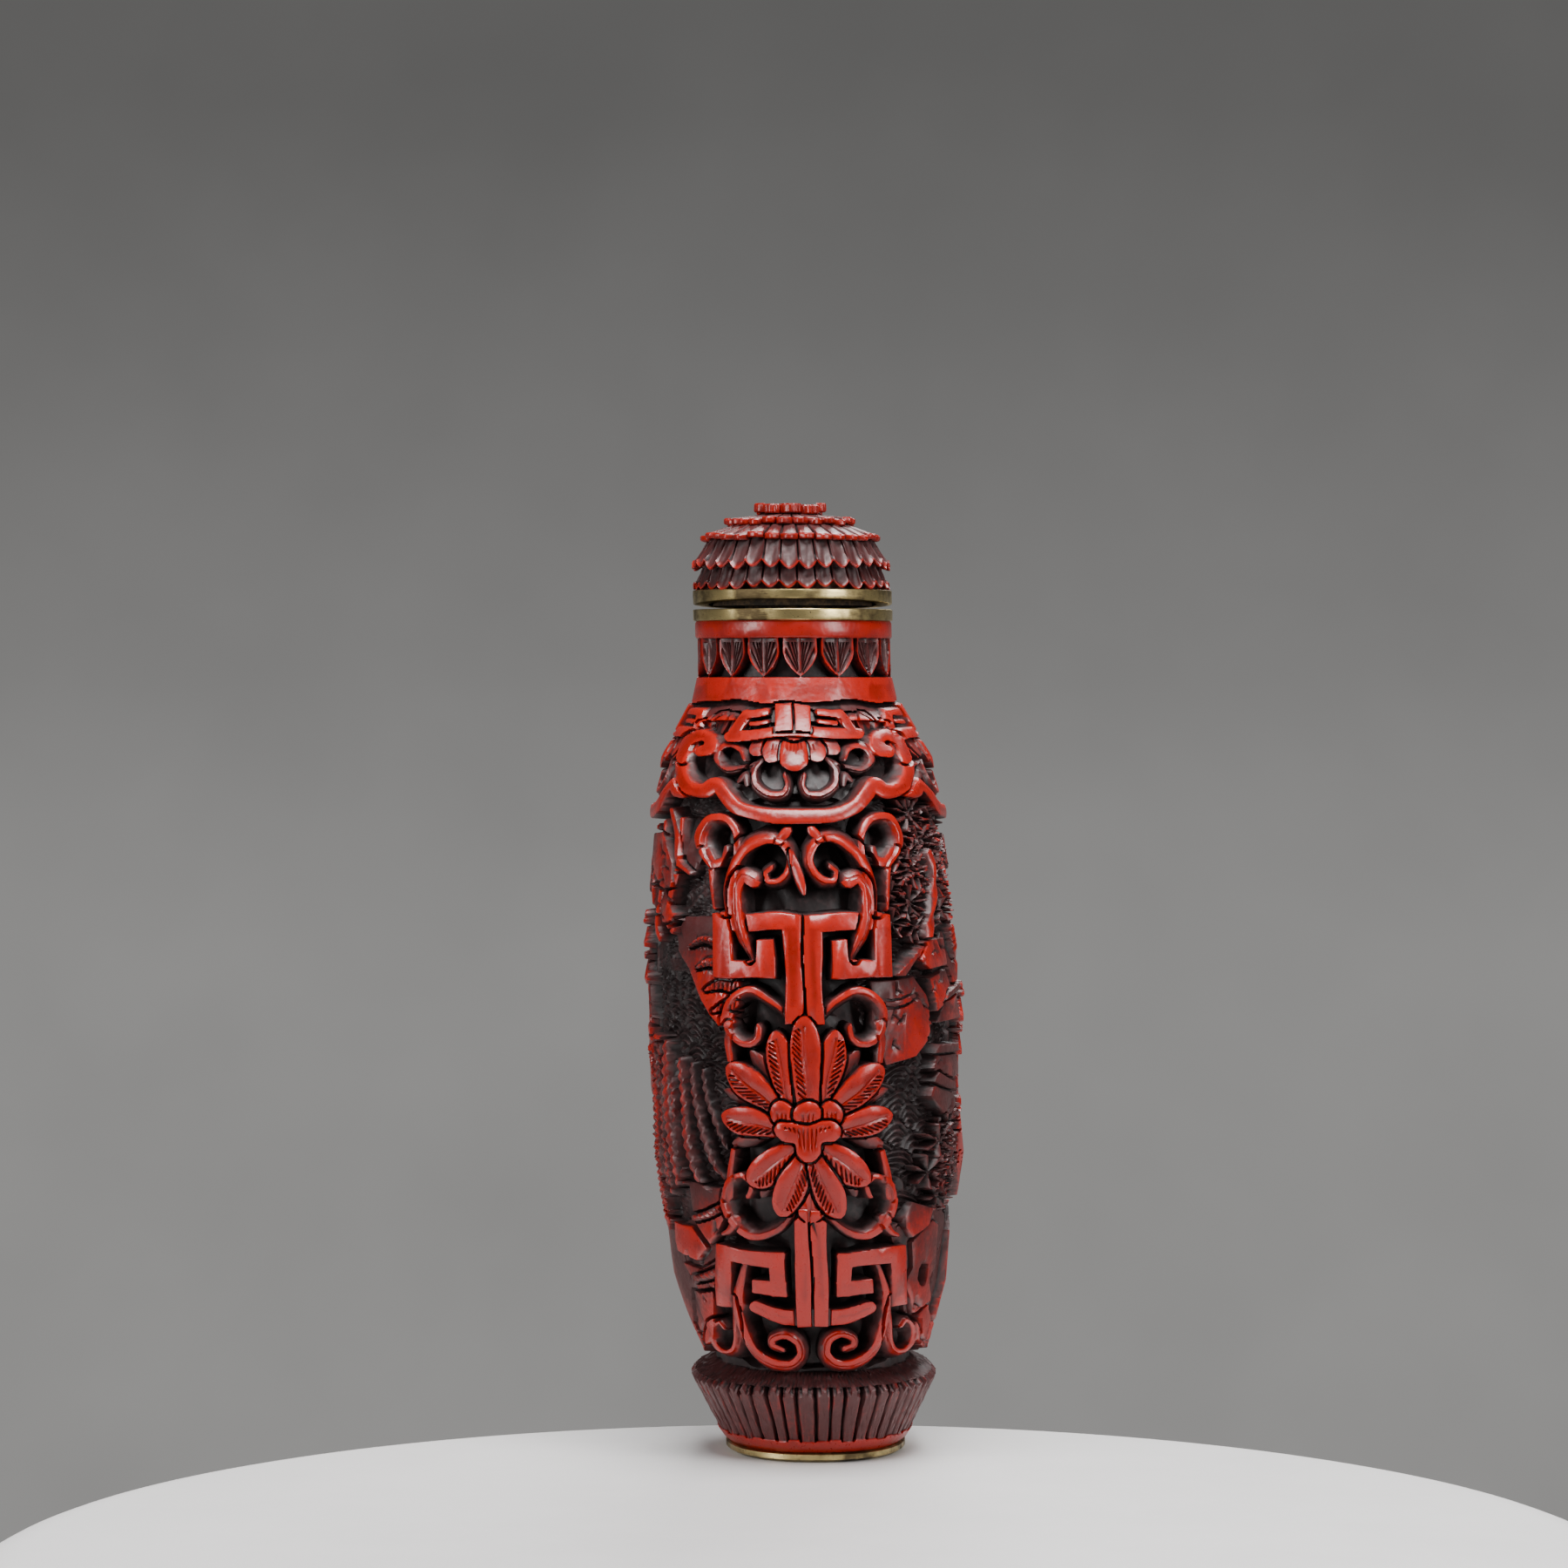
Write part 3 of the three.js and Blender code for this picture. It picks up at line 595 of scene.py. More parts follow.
def carve_lotus(face):
    """Lotus with veined petals round a lobed lip."""
    for side in (-1, 1):
        for base, tip, width in BACK_PETALS:
            face.petal((base[0] * side, base[1]), (tip[0] * side, tip[1]), width, -0.5, lean=0.35 * side)
    face.petal((0.1, 26.6), (0.2, 21.6), 3.0, top=-0.15, veins=1, moat=0.3)
    for side in (-1, 1):
        for base, tip, width in FRONT_PETALS:
            base, tip = (base[0] * side, base[1]), (tip[0] * side, tip[1])
            face.petal(base, tip, width, 0.1, veins=-side, lean=0.1 * side, moat=0.8, waist=0.5)
    face.petal((0.05, 31.0), (0, 38.9), 2.5, top=0.2, veins=1, moat=0.9, waist=0.6)
    for a in (-2.0, 2.0, 0):
        face.blob(circle((a, 30.75), 1.08, 0, 315, 8), top=0.1, dome=0.12, moat=0.7)
        for shift in (-0.4, 0, 0.4):
            face.stroke((a + shift, 30.9), (a + shift * 0.8, 30.0))
    lip = [(-1.2, 30.1), (0, 29.85), (1.2, 30.15), (2.4, 30.0), (2.75, 29.2), (2.2, 28.45), (1.25, 28.4)]
    lip += [
        (1.15, 27.5), (0.55, 26.85), (-0.35, 26.75), (-1.0, 27.4), (-1.15, 28.35), (-2.1, 28.5), (-2.7, 29.2)
    ]
    lip += [(-2.35, 30.0)]
    face.blob(lip, top=0.25, dome=0.06, moat=0.7)
    for i in range(-5, 6):
        a = 0.36 * i
        low = 27.6 if abs(i) < 3 else 28.9
        face.stroke((a, 29.7), (a * 0.93, low + 0.12 * abs(i)), 0.13, 0.2)


def carve_lower_fret(face):
    """Column, key and foot of the fret under the lotus."""
    pair(face.ribbon, [(0.3, 13.1), (2.5, 13.25), (4.9, 13.95)], (1.5, 1.45, 1.1), top=-0.05, crown=0.02)
    pair(face.block, [(0.08, 12.3), (1.35, 12.3), (1.38, 22.6), (0.08, 22.6)], top=0.02)
    key = [(7.5, 14.5), (7.45, 18.6), (2.9, 18.2), (2.75, 15.75), (4.5, 15.85)]
    pair(face.bar, key, 1.35, top=-0.05, soil=0.15)


def carve_lower_scrolls(face):
    """Large and small curls round the lower fret."""
    large = [
        (5.9, 18.0), (6.2, 17.0), (6.5, 15.0), (6.3, 12.4), (5.3, 10.0), (3.5, 8.7), (1.95, 8.65),
        (0.95, 9.7),
    ]
    large += [(1.25, 11.1), (2.4, 11.75), (3.5, 11.3), (3.6, 10.5), (2.9, 10.1)]
    widths = (0.8, 1.1, 1.25, 1.3, 1.3, 1.25, 1.15, 1.1, 0.95, 0.8)
    pair(face.ribbon, large, widths, top=(-0.4, 0.15, 0.2, 0.15, 0.1, 0.1, 0), rim=-1, shelf=0.8)
    small = [
        (6.75, 14.6), (6.5, 13.0), (6.45, 11.0), (6.9, 9.6), (7.9, 9.3), (8.75, 10.2), (8.8, 11.8),
        (8.1, 12.5),
    ]
    small += [(7.6, 11.9)]
    pair(face.ribbon, small, (0.7, 0.9, 0.9, 0.85, 0.8, 0.6), top=(-0.5, 0, 0.05, 0, -0.1), rim=1, shelf=0.9)


# ---- collar of lappets ----
LAPPET_SHIFT = -0.25  # the lappets were cut a little off the middle line


def carve_lappet(face, reach=1.0):
    """Hanging lappet with a moulded border, a bud, scrolls and a key fret. reach stretches it across."""

    def place(points):
        return [(a * reach + LAPPET_SHIFT, u) for a, u in points]

    half = [(0, 55.3), (3.0, 55.4), (4.9, 56.0), (5.9, 57.0), (6.7, 57.85), (7.6, 57.3), (8.8, 57.5)]
    half += [(9.6, 58.6), (9.6, 60.0), (8.9, 61.4)]
    ring = place(mirrored(half[:0:-1]) + half)
    floor_line = np.array(ring + place([(4.0, 62.6), (-4.0, 62.6)]))

    def floor(a, u):
        return np.where(is_inside(floor_line, a, u), -1.75 + 0.1 * ripple(a, u, 2.0, 21), 9.0)

    face.lower_form(floor_line.min(0), floor_line.max(0), floor)

    def both(draw, points, *args, **how):
        draw(place(points), *args, **how)
        if "rim" in how:
            how["rim"] = -how["rim"]
        draw(place(mirrored(points)), *args, **how)

    tendril = [
        (3.2, 59.7), (4.6, 59.3), (6.2, 59.0), (7.1, 59.7), (6.9, 60.8), (5.8, 61.3), (4.7, 60.9),
        (4.3, 60.2),
    ]
    both(face.ribbon, tendril, (0.5, 0.7, 0.9, 1.0, 0.9, 0.7), top=(-0.7, -0.5, -0.3, -0.3), rim=1, shelf=0.8)
    scroll = [(2.9, 60.1), (3.75, 59.2), (3.6, 57.8), (2.4, 56.9), (1.1, 57.0), (0.55, 57.8), (0.7, 58.6)]
    both(
        face.ribbon, scroll, (0.6, 0.9, 1.0, 1.0, 0.95, 0.8, 0.7), top=(-0.6, -0.4, -0.3, -0.3, -0.3), rim=-1,
        shelf=0.7,
    )
    both(face.ribbon, [(4.3, 57.9), (4.5, 58.7), (5.1, 58.2)], (0.5, 0.7, 0.4), top=-0.7)

    for side in (-1, 1):
        for tip, base, width, top in (
            ((4.0 * side, 60.6), (1.3 * side, 62.0), 1.6, -0.35),
            ((2.4 * side, 59.8), (0.9 * side, 62.1), 1.9, -0.2),
        ):
            base_point, tip_point = place([base, tip])
            face.petal(base_point, tip_point, width * (0.6 + 0.4 * reach), top, waist=0.6, moat=0.6)
            for shift in (-0.25, 0.1):
                start = (base_point[0] * 0.6 + tip_point[0] * 0.4 + shift, (base[1] + tip[1]) / 2 + 0.35)
                face.stroke(start, (start[0] + 0.15 * side, start[1] - 0.6), 0.12, 0.14)
    bud = circle((0, 60.2), 1.25, -160, -20, 6) + [(0.85, 61.5), (-0.85, 61.5)]
    face.blob(place(bud), top=-0.1, dome=0.2, moat=0.6)
    for i in range(-2, 3):
        start, end = place([(0.25 * i, 61.5), (0.3 * i, 60.8 - 0.1 * (2 - abs(i)))])
        face.stroke(start, end, 0.11, 0.16)
    face.ribbon(place([(-1.3, 62.15), (0, 61.85), (1.3, 62.15)]), (0.4, 0.7, 0.4), top=-0.3, moat=0.4)

    slots = np.array(place([(4.6, 62.3), (3.9, 63.9), (1.5, 64.3), (-1.5, 64.3), (-3.9, 63.9), (-4.6, 62.3)]))
    face.lower_form(slots.min(0), slots.max(0), lambda a, u: np.where(is_inside(slots, a, u), -0.95, 9.0))
    fret = {"top": 0.12, "crown": 0.02, "moat": 0.0}
    face.ribbon(place([(-5.4, 61.75), (-2.5, 62.2), (0, 62.3), (2.5, 62.25), (5.6, 62.05)]), 0.9, **fret)
    both(face.ribbon, [(5.1, 62.1), (4.5, 63.0), (3.95, 63.75)], 0.75, **fret)
    both(face.ribbon, [(4.0, 63.75), (2.3, 64.0)], 0.62, **fret)
    both(face.ribbon, [(3.7, 63.0), (2.3, 63.2)], 0.4, top=-0.1, crown=0.02, moat=0.0)
    both(face.block, [(0.09, 62.3), (1.5, 62.3), (1.5, 64.55), (0.09, 64.6)], top=0.14)

    for side in (-1, 1):
        for base, tip, width in (((7.0, 62.0), (5.9, 63.9), 1.2), ((8.0, 61.9), (7.6, 63.3), 1.0)):
            base_point, tip_point = place([(base[0] * side, base[1]), (tip[0] * side, tip[1])])
            face.petal(base_point, tip_point, width, -0.45, waist=0.6)
    border = place(mirrored(half[:0:-1]) + half)
    face.ribbon(border, 1.2, top=0.15, crown=0.12, moat=0.4)
    curl = [(9.5, 60.1), (9.0, 61.5), (7.9, 62.0), (7.1, 61.5), (7.3, 60.8), (7.9, 60.6)]
    both(face.ribbon, curl, (1.1, 1.0, 0.95, 1.0, 1.2, 1.0), top=(0.12, 0.12, 0.05, 0.05, 0.1), moat=0.3)


def carve_narrow_side(face):
    """Openwork of a narrow side, from its deep ground to the curls on top."""
    carve_panel_ground(face)
    carve_lower_scrolls(face)
    carve_lower_fret(face)
    carve_middle_scrolls(face)
    carve_upper_fret(face)
    carve_lotus(face)
    carve_upper_scrolls(face)


# ---- landscapes ----
def carve_waves(face, low, high, radius=2.3, rise=1.15, line_gap=0.5, depth=0.34):
    """Water as rows of wave heads, each a nest of arcs that hides the ones behind it."""

    def change(a, u, cut):
        a = a + 0.5 * ripple(a, u, 7.0, 31)
        u = u + 0.5 * ripple(a, u, 6.0, 32)
        ring = np.full(len(a), radius)
        open_sky = np.ones(len(a), bool)
        for back in (1, 0):
            row = np.floor(u / rise) - back
            shifted = a + radius * 0.95 * (row % 2)
            gap = (shifted / (1.9 * radius) - np.round(shifted / (1.9 * radius))) * 1.9 * radius
            away = np.hypot(gap, u - row * rise)
            here = open_sky & (away < radius)
            ring[here] = away[here]
            open_sky &= ~here
        groove = 0.5 - 0.5 * np.cos(2 * math.pi * ring / line_gap)
        return np.where(cut < -0.9, -depth * groove, 0.0)

    face.texture(low, high, change)


def carve_hatching(face, low, high, gap=0.42, slant=0.6, depth=0.14, below=-0.3):
    """Rough crossed knife lines on ground between two heights."""

    def change(a, u, cut):
        bend = 0.7 * ripple(a, u, 3.0, 41)
        one = np.cos(2 * math.pi * (u + slant * a + bend) / gap)
        two = np.cos(2 * math.pi * (u - slant * a + bend) / (gap * 1.3))
        return np.where(cut < below, -depth * (1 + np.maximum(one, two)) / 2, 0.0)

    face.texture(low, high, change)


def carve_rock(face, outline, seed, top=-0.1, facets=4, cracks=6, relief=0.35, **how):
    """Crag of flat facets that meet in ridges, cut with short forked cracks."""
    chance = np.random.default_rng(seed)
    line = np.asarray(outline, float)
    ring = np.vstack([line, line[:1]])
    low, high = line.min(0), line.max(0)
    places = chance.uniform(low, high, (facets, 2))
    slopes = chance.uniform(-0.16, 0.16, (facets, 2)) + np.array([0.0, -0.08])

    def form(a, u):
        off = along_line(ring, a, u)[0]
        off = np.where(is_inside(line, a, u), -off, off)
        planes = [s[0] * (a - p[0]) + s[1] * (u - p[1]) for p, s in zip(places, slopes)]
        facet = np.clip(np.min(planes, axis=0), -2.5 * relief, relief)
        return off, top + facet

    how.setdefault("moat", 0.5)
    how.setdefault("soil", 0.15)
    face.raise_form(low, high, form, **how)
    drawn = 0
    for _ in range(cracks * 8):
        spot = chance.uniform(low, high)
        if drawn >= cracks or not is_inside(line, spot[:1], spot[1:])[0]:
            continue
        drawn += 1
        length = chance.uniform(0.7, 1.5)
        sway = chance.uniform(-0.35, 0.35) * length
        tip = (spot[0] + sway, spot[1] - length)
        face.stroke(spot, tip, 0.16, 0.3)
        knee = (spot[0] + 0.55 * sway, spot[1] - 0.55 * length)
        face.stroke(knee, (knee[0] + chance.choice((-1, 1)) * 0.5, knee[1] - 0.45), 0.14, 0.25)


def carve_ledge(face, points, width=0.7, top=-0.1):
    """Rounded rim of a cliff, with hatched rock below it."""
    face.ribbon(points, (width * 0.7, width, width * 0.8), top=top, crown=0.15, moat=0.5)
    low, high = np.min(points, axis=0), np.max(points, axis=0)
    carve_hatching(face, (low[0], low[1] - 1.6), (high[0], high[1] + 0.3))


def carve_star(face, centre, radius, top=-0.1, leaves=7, turn=0.0, soil=0.2):
    """Rosette of pointed leaves, each ridged along its middle."""

    def form(a, u):
        da, du = a - centre[0], u - centre[1]
        away = np.hypot(da, du)
        lobe = 0.5 + 0.5 * np.cos(leaves * (np.arctan2(du, da) - turn))
        reach = radius * (0.22 + 0.78 * lobe**1.4)
        rise = np.clip(away / radius, 0, 1)
        height = top - 0.5 * (1 - rise) - 1.0 * (1 - lobe) * np.clip(3 * rise, 0, 1)
        return away - reach, height

    low = (centre[0] - radius, centre[1] - radius)
    high = (centre[0] + radius, centre[1] + radius)
    face.raise_form(low, high, form, moat=1.0, moat_width=0.2, edge=0.14, soft=0.1, soil=soil)


def carve_foliage(face, outline, seed, radius=1.5, pitch=2.3, top=-0.15):
    """Clump of leaf rosettes that fill an outline."""
    chance = np.random.default_rng(seed)
    line = np.asarray(outline, float)
    low, high = line.min(0), line.max(0)
    places = []
    for j, u in enumerate(np.arange(low[1], high[1], pitch * 0.86)):
        for a in np.arange(low[0] + (j % 2) * pitch / 2, high[0], pitch):
            places.append((a, u) + chance.uniform(-0.3, 0.3, 2) * pitch)
    places = np.array(places)
    places = places[is_inside(line, places[:, 0], places[:, 1])]
    for place in chance.permutation(places):
        size = radius * chance.uniform(0.8, 1.2)
        carve_star(
            face, place, size, top + chance.uniform(-0.35, 0.15), chance.integers(6, 9), chance.uniform(0, 6)
        )


def carve_trunk(face, route, widths, top=-0.1, twist=0.55, **how):
    """Trunk or hanging branch with a rope-like twist of bark."""
    line = curve(route)
    run = np.hypot(*np.diff(line, axis=0).T).sum()
    widths = np.asarray(widths, float)

    def form(a, u):
        off, share, side = along_line(line, a, u)
        half = np.interp(share, np.linspace(0, 1, len(widths)), widths) / 2
        place = side * off / np.maximum(half, 1e-3)
        bark = 0.5 + 0.5 * np.cos(2 * math.pi * (share * run / twist + 0.35 * place))
        return off - half, top - 0.2 * place**2 - 0.2 * bark

    reach = widths.max() / 2
    how.setdefault("moat", 0.5)
    how.setdefault("soil", 0.2)
    face.raise_form(line.min(0) - reach, line.max(0) + reach, form, **how)


def carve_roof(face, a, u, width, height, top):
    """Tiled roof with upturned eaves."""
    half = width / 2
    outline = [
        (-0.52, 1.0), (0.52, 1.0), (0.68, 0.5), (0.95, 0.12), (1.12, 0.16), (1.05, -0.12), (0.5, -0.02)
    ]
    outline += [(-0.5, -0.02), (-1.05, -0.12), (-1.12, 0.16), (-0.95, 0.12), (-0.68, 0.5)]
    points = [(a + half * x, u + height * y) for x, y in outline]
    face.block(points, top=top, tilt=(0, -0.16))
    for i in range(-6, 7):
        x = i / 6.5
        face.stroke(
            (a + half * x * 0.5, u + height * 0.86), (a + half * x * 0.92, u + height * 0.1), 0.15, 0.22
        )
    face.ribbon(
        [(a - half * 0.55, u + height), (a, u + height * 1.04), (a + half * 0.55, u + height)], 0.5,
        top + 0.1,
    )


def carve_pavilion(face, a, u, width, top=-0.1):
    """Open pavilion of two roofs on columns over a railed platform."""
    half = width / 2
    face.block([(a - half, u), (a + half, u), (a + half, u + 8.6), (a - half, u + 8.6)], top=-1.15, moat=0)
    for i in range(5):
        x = a + half * (-0.84 + 0.42 * i)
        face.bar([(x, u + 0.5), (x, u + 4.3)], 0.45, top=top - 0.25)
    face.bar([(a - half * 0.9, u + 2.0), (a + half * 0.9, u + 2.0)], 0.35, top=top - 0.2)
    face.bar([(a - half * 0.9, u + 0.9), (a + half * 0.9, u + 0.9)], 0.35, top=top - 0.2)
    for i in range(12):
        x = a + half * (-0.85 + 1.7 * i / 11)
        face.bar([(x, u + 1.0), (x, u + 1.9)], 0.2, top=top - 0.4)
    carve_roof(face, a, u + 4.0, width * 1.12, 2.0, top)
    for i in range(4):
        x = a + half * (-0.5 + i / 3)
        face.bar([(x, u + 6.0), (x, u + 7.2)], 0.4, top=top - 0.35)
    carve_roof(face, a, u + 7.0, width * 0.82, 2.0, top + 0.1)
    face.blob(circle((a, u + 9.6), 0.45, 0, 315, 8), top=top, dome=0.2)
    face.block(
        [(a - half * 1.1, u - 1.2), (a + half * 1.1, u - 1.2), (a + half * 1.1, u), (a - half * 1.1, u)],
        top=top,
    )


def carve_cloud(face, a, u, size, top=-0.35):
    """Scrolled cloud of three curls and a tail."""
    right = ((2.2, -0.2), (1.0, -0.45), (0, -0.3), (-0.6, 0.2), (-0.2, 0.8), (0.4, 0.6), (0.3, 0.15))
    left = ((2.0, -0.5), (1.0, -0.7), (0.2, -0.9), (-0.6, -0.7), (-0.5, -0.2), (0, -0.3))
    curl = [(a + size * x, u + size * y) for x, y in right]
    face.ribbon(curl, (0.3, 0.6, 0.7, 0.6, 0.45), top=top, moat=0.4)
    other = [(a - size * x, u + size * y) for x, y in left]
    face.ribbon(other, (0.3, 0.55, 0.65, 0.5, 0.4), top=top, moat=0.4)


def carve_bridge(face, left, right, u, rise, top=-0.2):
    """Humped bridge with a railing."""
    middle = (left + right) / 2
    deck = [
        (left, u), (left * 0.5 + middle * 0.5, u + rise * 0.75), (middle, u + rise),
        (right * 0.5 + middle * 0.5, u + rise * 0.75), (right, u),
    ]
    face.ribbon(deck, 0.9, top=top, moat=0.5)
    rail = [(x, y + 1.5) for x, y in deck]
    line = curve(deck)
    for i in range(9):
        x, y = line[round((len(line) - 1) * (i + 0.5) / 9)]
        face.bar([(x, y + 0.3), (x, y + 1.4)], 0.28, top=top - 0.1)
    face.ribbon(rail, 0.4, top=top)


def carve_lake_scene(face):
    """Lake with a pavilion, maples and crags, on the wide side facing +X."""
    carve_waves(face, (-20, 19), (20, 47))
    carve_hatching(face, (-20, 46), (20, 57), below=-0.9)
    carve_cloud(face, -1.5, 52.0, 1.5)
    carve_cloud(face, 6.5, 49.0, 1.4)
    carve_bridge(face, 4.5, 15.5, 27.5, 2.6)
    carve_pavilion(face, -0.5, 30.5, 8.6)
    carve_rock(
        face, [(-4.8, 29.6), (4.4, 29.6), (6.0, 26.5), (3.5, 23.0), (-3.0, 22.0), (-6.0, 25.5)], 51, top=0.0,
        cracks=9,
    )
    carve_rock(
        face, [(-13, 42.8), (-9.6, 45.4), (-6.6, 44.8), (-5.4, 41.0), (-8.0, 38.5), (-12, 39.5)], 52, top=0.0,
        cracks=6,
    )
    carve_rock(
        face, [(9.5, 38.0), (11.5, 41.5), (14.5, 43.0), (18.5, 41.0), (19.5, 35.0), (16, 31.5), (11, 33.0)],
        53, cracks=9,
    )
    carve_trunk(
        face, [(-7.0, 43.5), (-7.9, 46.0), (-7.2, 48.5), (-8.4, 51.0), (-8.0, 54.0)], (1.5, 1.2, 1.0, 0.8),
        top=0.0,
    )
    carve_trunk(face, [(-7.3, 48.3), (-10.5, 50.0), (-13.0, 49.6)], (0.8, 0.6, 0.4))
    carve_foliage(
        face, [(-17.5, 45.4), (-14.0, 43.9), (-9.0, 46.5), (-9.2, 56.0), (-16.5, 55.8)], 54, radius=1.7
    )
    carve_foliage(face, [(-6.6, 49.5), (-3.4, 49.8), (-4.0, 56.0), (-8.0, 56.0)], 55)
    carve_trunk(face, [(13.0, 42.0), (11.6, 45.0), (12.6, 48.0), (11.0, 51.0)], (1.3, 1.0, 0.8, 0.6), top=0.0)
    carve_foliage(face, [(8.0, 47.0), (15.5, 45.0), (16.5, 50.0), (13.0, 54.5), (8.6, 52.5)], 56)
    carve_foliage(face, [(-11.5, 30.3), (-6.2, 29.0), (-6.0, 24.0), (-10.5, 22.5), (-12.5, 26.5)], 57)
    carve_rock(
        face, [(-17, 21.0), (-11.5, 22.5), (-7.0, 20.8), (-5.5, 13.0), (-8.0, 9.2), (-14, 9.0), (-18, 14)],
        58, top=0.05, cracks=10,
    )
    carve_rock(
        face, [(-6.5, 19.5), (0.0, 21.0), (5.0, 18.8), (6.2, 12.5), (2.0, 8.9), (-5.0, 9.0)], 59, top=0.05,
        cracks=10,
    )
    carve_rock(
        face, [(4.5, 21.0), (9.5, 24.0), (14.5, 22.5), (17.5, 17), (14, 9.4), (6.5, 9.0)], 60, top=0.0,
        cracks=11,
    )
    carve_foliage(face, [(5.0, 20.0), (10.0, 20.5), (9.0, 16.5), (5.5, 16.8)], 61)


def carve_willow_scene(face):
    """Willow over a path between cliffs, on the wide side facing -X."""
    carve_waves(face, (-20, 24), (20, 42), radius=2.0, rise=1.0)
    carve_hatching(face, (-20, 41), (20, 57), below=-0.9)
    carve_hatching(face, (-20, 18), (20, 24), below=-0.9)
    carve_cloud(face, -9.0, 52.0, 1.5)
    carve_cloud(face, 0.0, 50.0, 1.6)
    carve_rock(
        face, [(-19, 44), (-15, 47.5), (-10.5, 46), (-7.5, 41), (-10, 35), (-16, 33.5), (-20, 37)], 71,
        top=0.05, cracks=11,
    )
    carve_rock(face, [(-9.0, 41.5), (-5.5, 44), (-2.0, 41.5), (-2.8, 36.5), (-7.5, 35.0)], 72, cracks=6)
    carve_pavilion(face, 2.0, 36.8, 6.4, top=-0.2)
    carve_rock(face, [(-2.5, 35.9), (6.2, 36.0), (8.0, 33.0), (4.0, 31.0), (-3.0, 32.0)], 73, cracks=6)
    cliffs = (((12.0, 55), (12.4, 47)), ((8.8, 54.5), (9.6, 46.0)), ((5.6, 54), (6.2, 49)))
    for i, (start, end) in enumerate(cliffs):
        bend = ((start[0] + end[0]) / 2 + 0.8, (start[1] + end[1]) / 2)
        carve_ledge(face, [start, bend, end, (end[0] + 1.2, end[1] - 1.3)], 0.95, top=-0.05 - 0.1 * i)
    trunk = [(7.2, 20.5), (6.2, 25.0), (7.6, 29.5), (6.8, 33.5), (8.6, 36.0), (11.0, 36.2)]
    carve_trunk(face, trunk, (2.0, 1.6, 1.4, 1.3, 1.1, 0.8), top=0.05)
    carve_trunk(face, [(7.0, 33.0), (4.6, 35.0), (2.6, 34.0)], (1.1, 0.8, 0.6), top=0.0)
    for i in range(5):
        a = 7.8 + 0.95 * i
        fall = 12.5 - 0.6 * abs(i - 2)
        lean = -0.5 + 0.35 * i
        route = [
            (a, 35.6), (a + lean * 0.8, 35.8 - fall * 0.35), (a + lean, 35.6 - fall * 0.7),
            (a + lean * 1.8, 35.6 - fall),
        ]
        carve_trunk(face, route, (0.7, 0.8, 0.75, 0.45), top=-0.1 - 0.12 * (i % 2), twist=0.75)
    for i in range(4):
        a = 1.2 + 1.05 * i
        route = [(a + 1.0, 34.2), (a, 31.5), (a - 0.3, 28.5), (a - 0.5, 25.4 + 0.5 * (i % 2))]
        carve_trunk(face, route, (0.6, 0.75, 0.7, 0.4), top=-0.2 - 0.1 * (i % 2), twist=0.75)
    carve_bridge(face, -14.0, -3.0, 25.5, 2.6)
    carve_rock(face, [(-19, 27.5), (-14.0, 28.5), (-11.0, 24.5), (-13.5, 19.5), (-18.5, 20.5)], 74, cracks=8)
    carve_foliage(face, [(-6.0, 27.5), (-1.0, 27.0), (0.0, 22.5), (-5.5, 22.0)], 75)
    carve_rock(
        face, [(-17.5, 20), (-10, 22), (-4.8, 20.0), (-3.5, 13.5), (-6, 9.0), (-14, 9.0)], 76, top=0.05,
        cracks=12,
    )
    carve_rock(
        face, [(-4.0, 21.5), (3.0, 23.0), (8.5, 20.5), (9.0, 13), (5.0, 8.9), (-4.5, 9.0)], 77, top=0.05,
        cracks=12,
    )
    carve_rock(face, [(8.0, 20.0), (12.5, 21.0), (16.8, 18.5), (15.0, 11), (9.5, 8.9)], 78, top=0.0, cracks=8)


def carve_edges_of_scenes(face):
    """Crags, fronds and leaves where the landscapes run up to the openwork, as seen from the narrow side."""
    carve_left_edge(face)
    carve_right_edge(face)


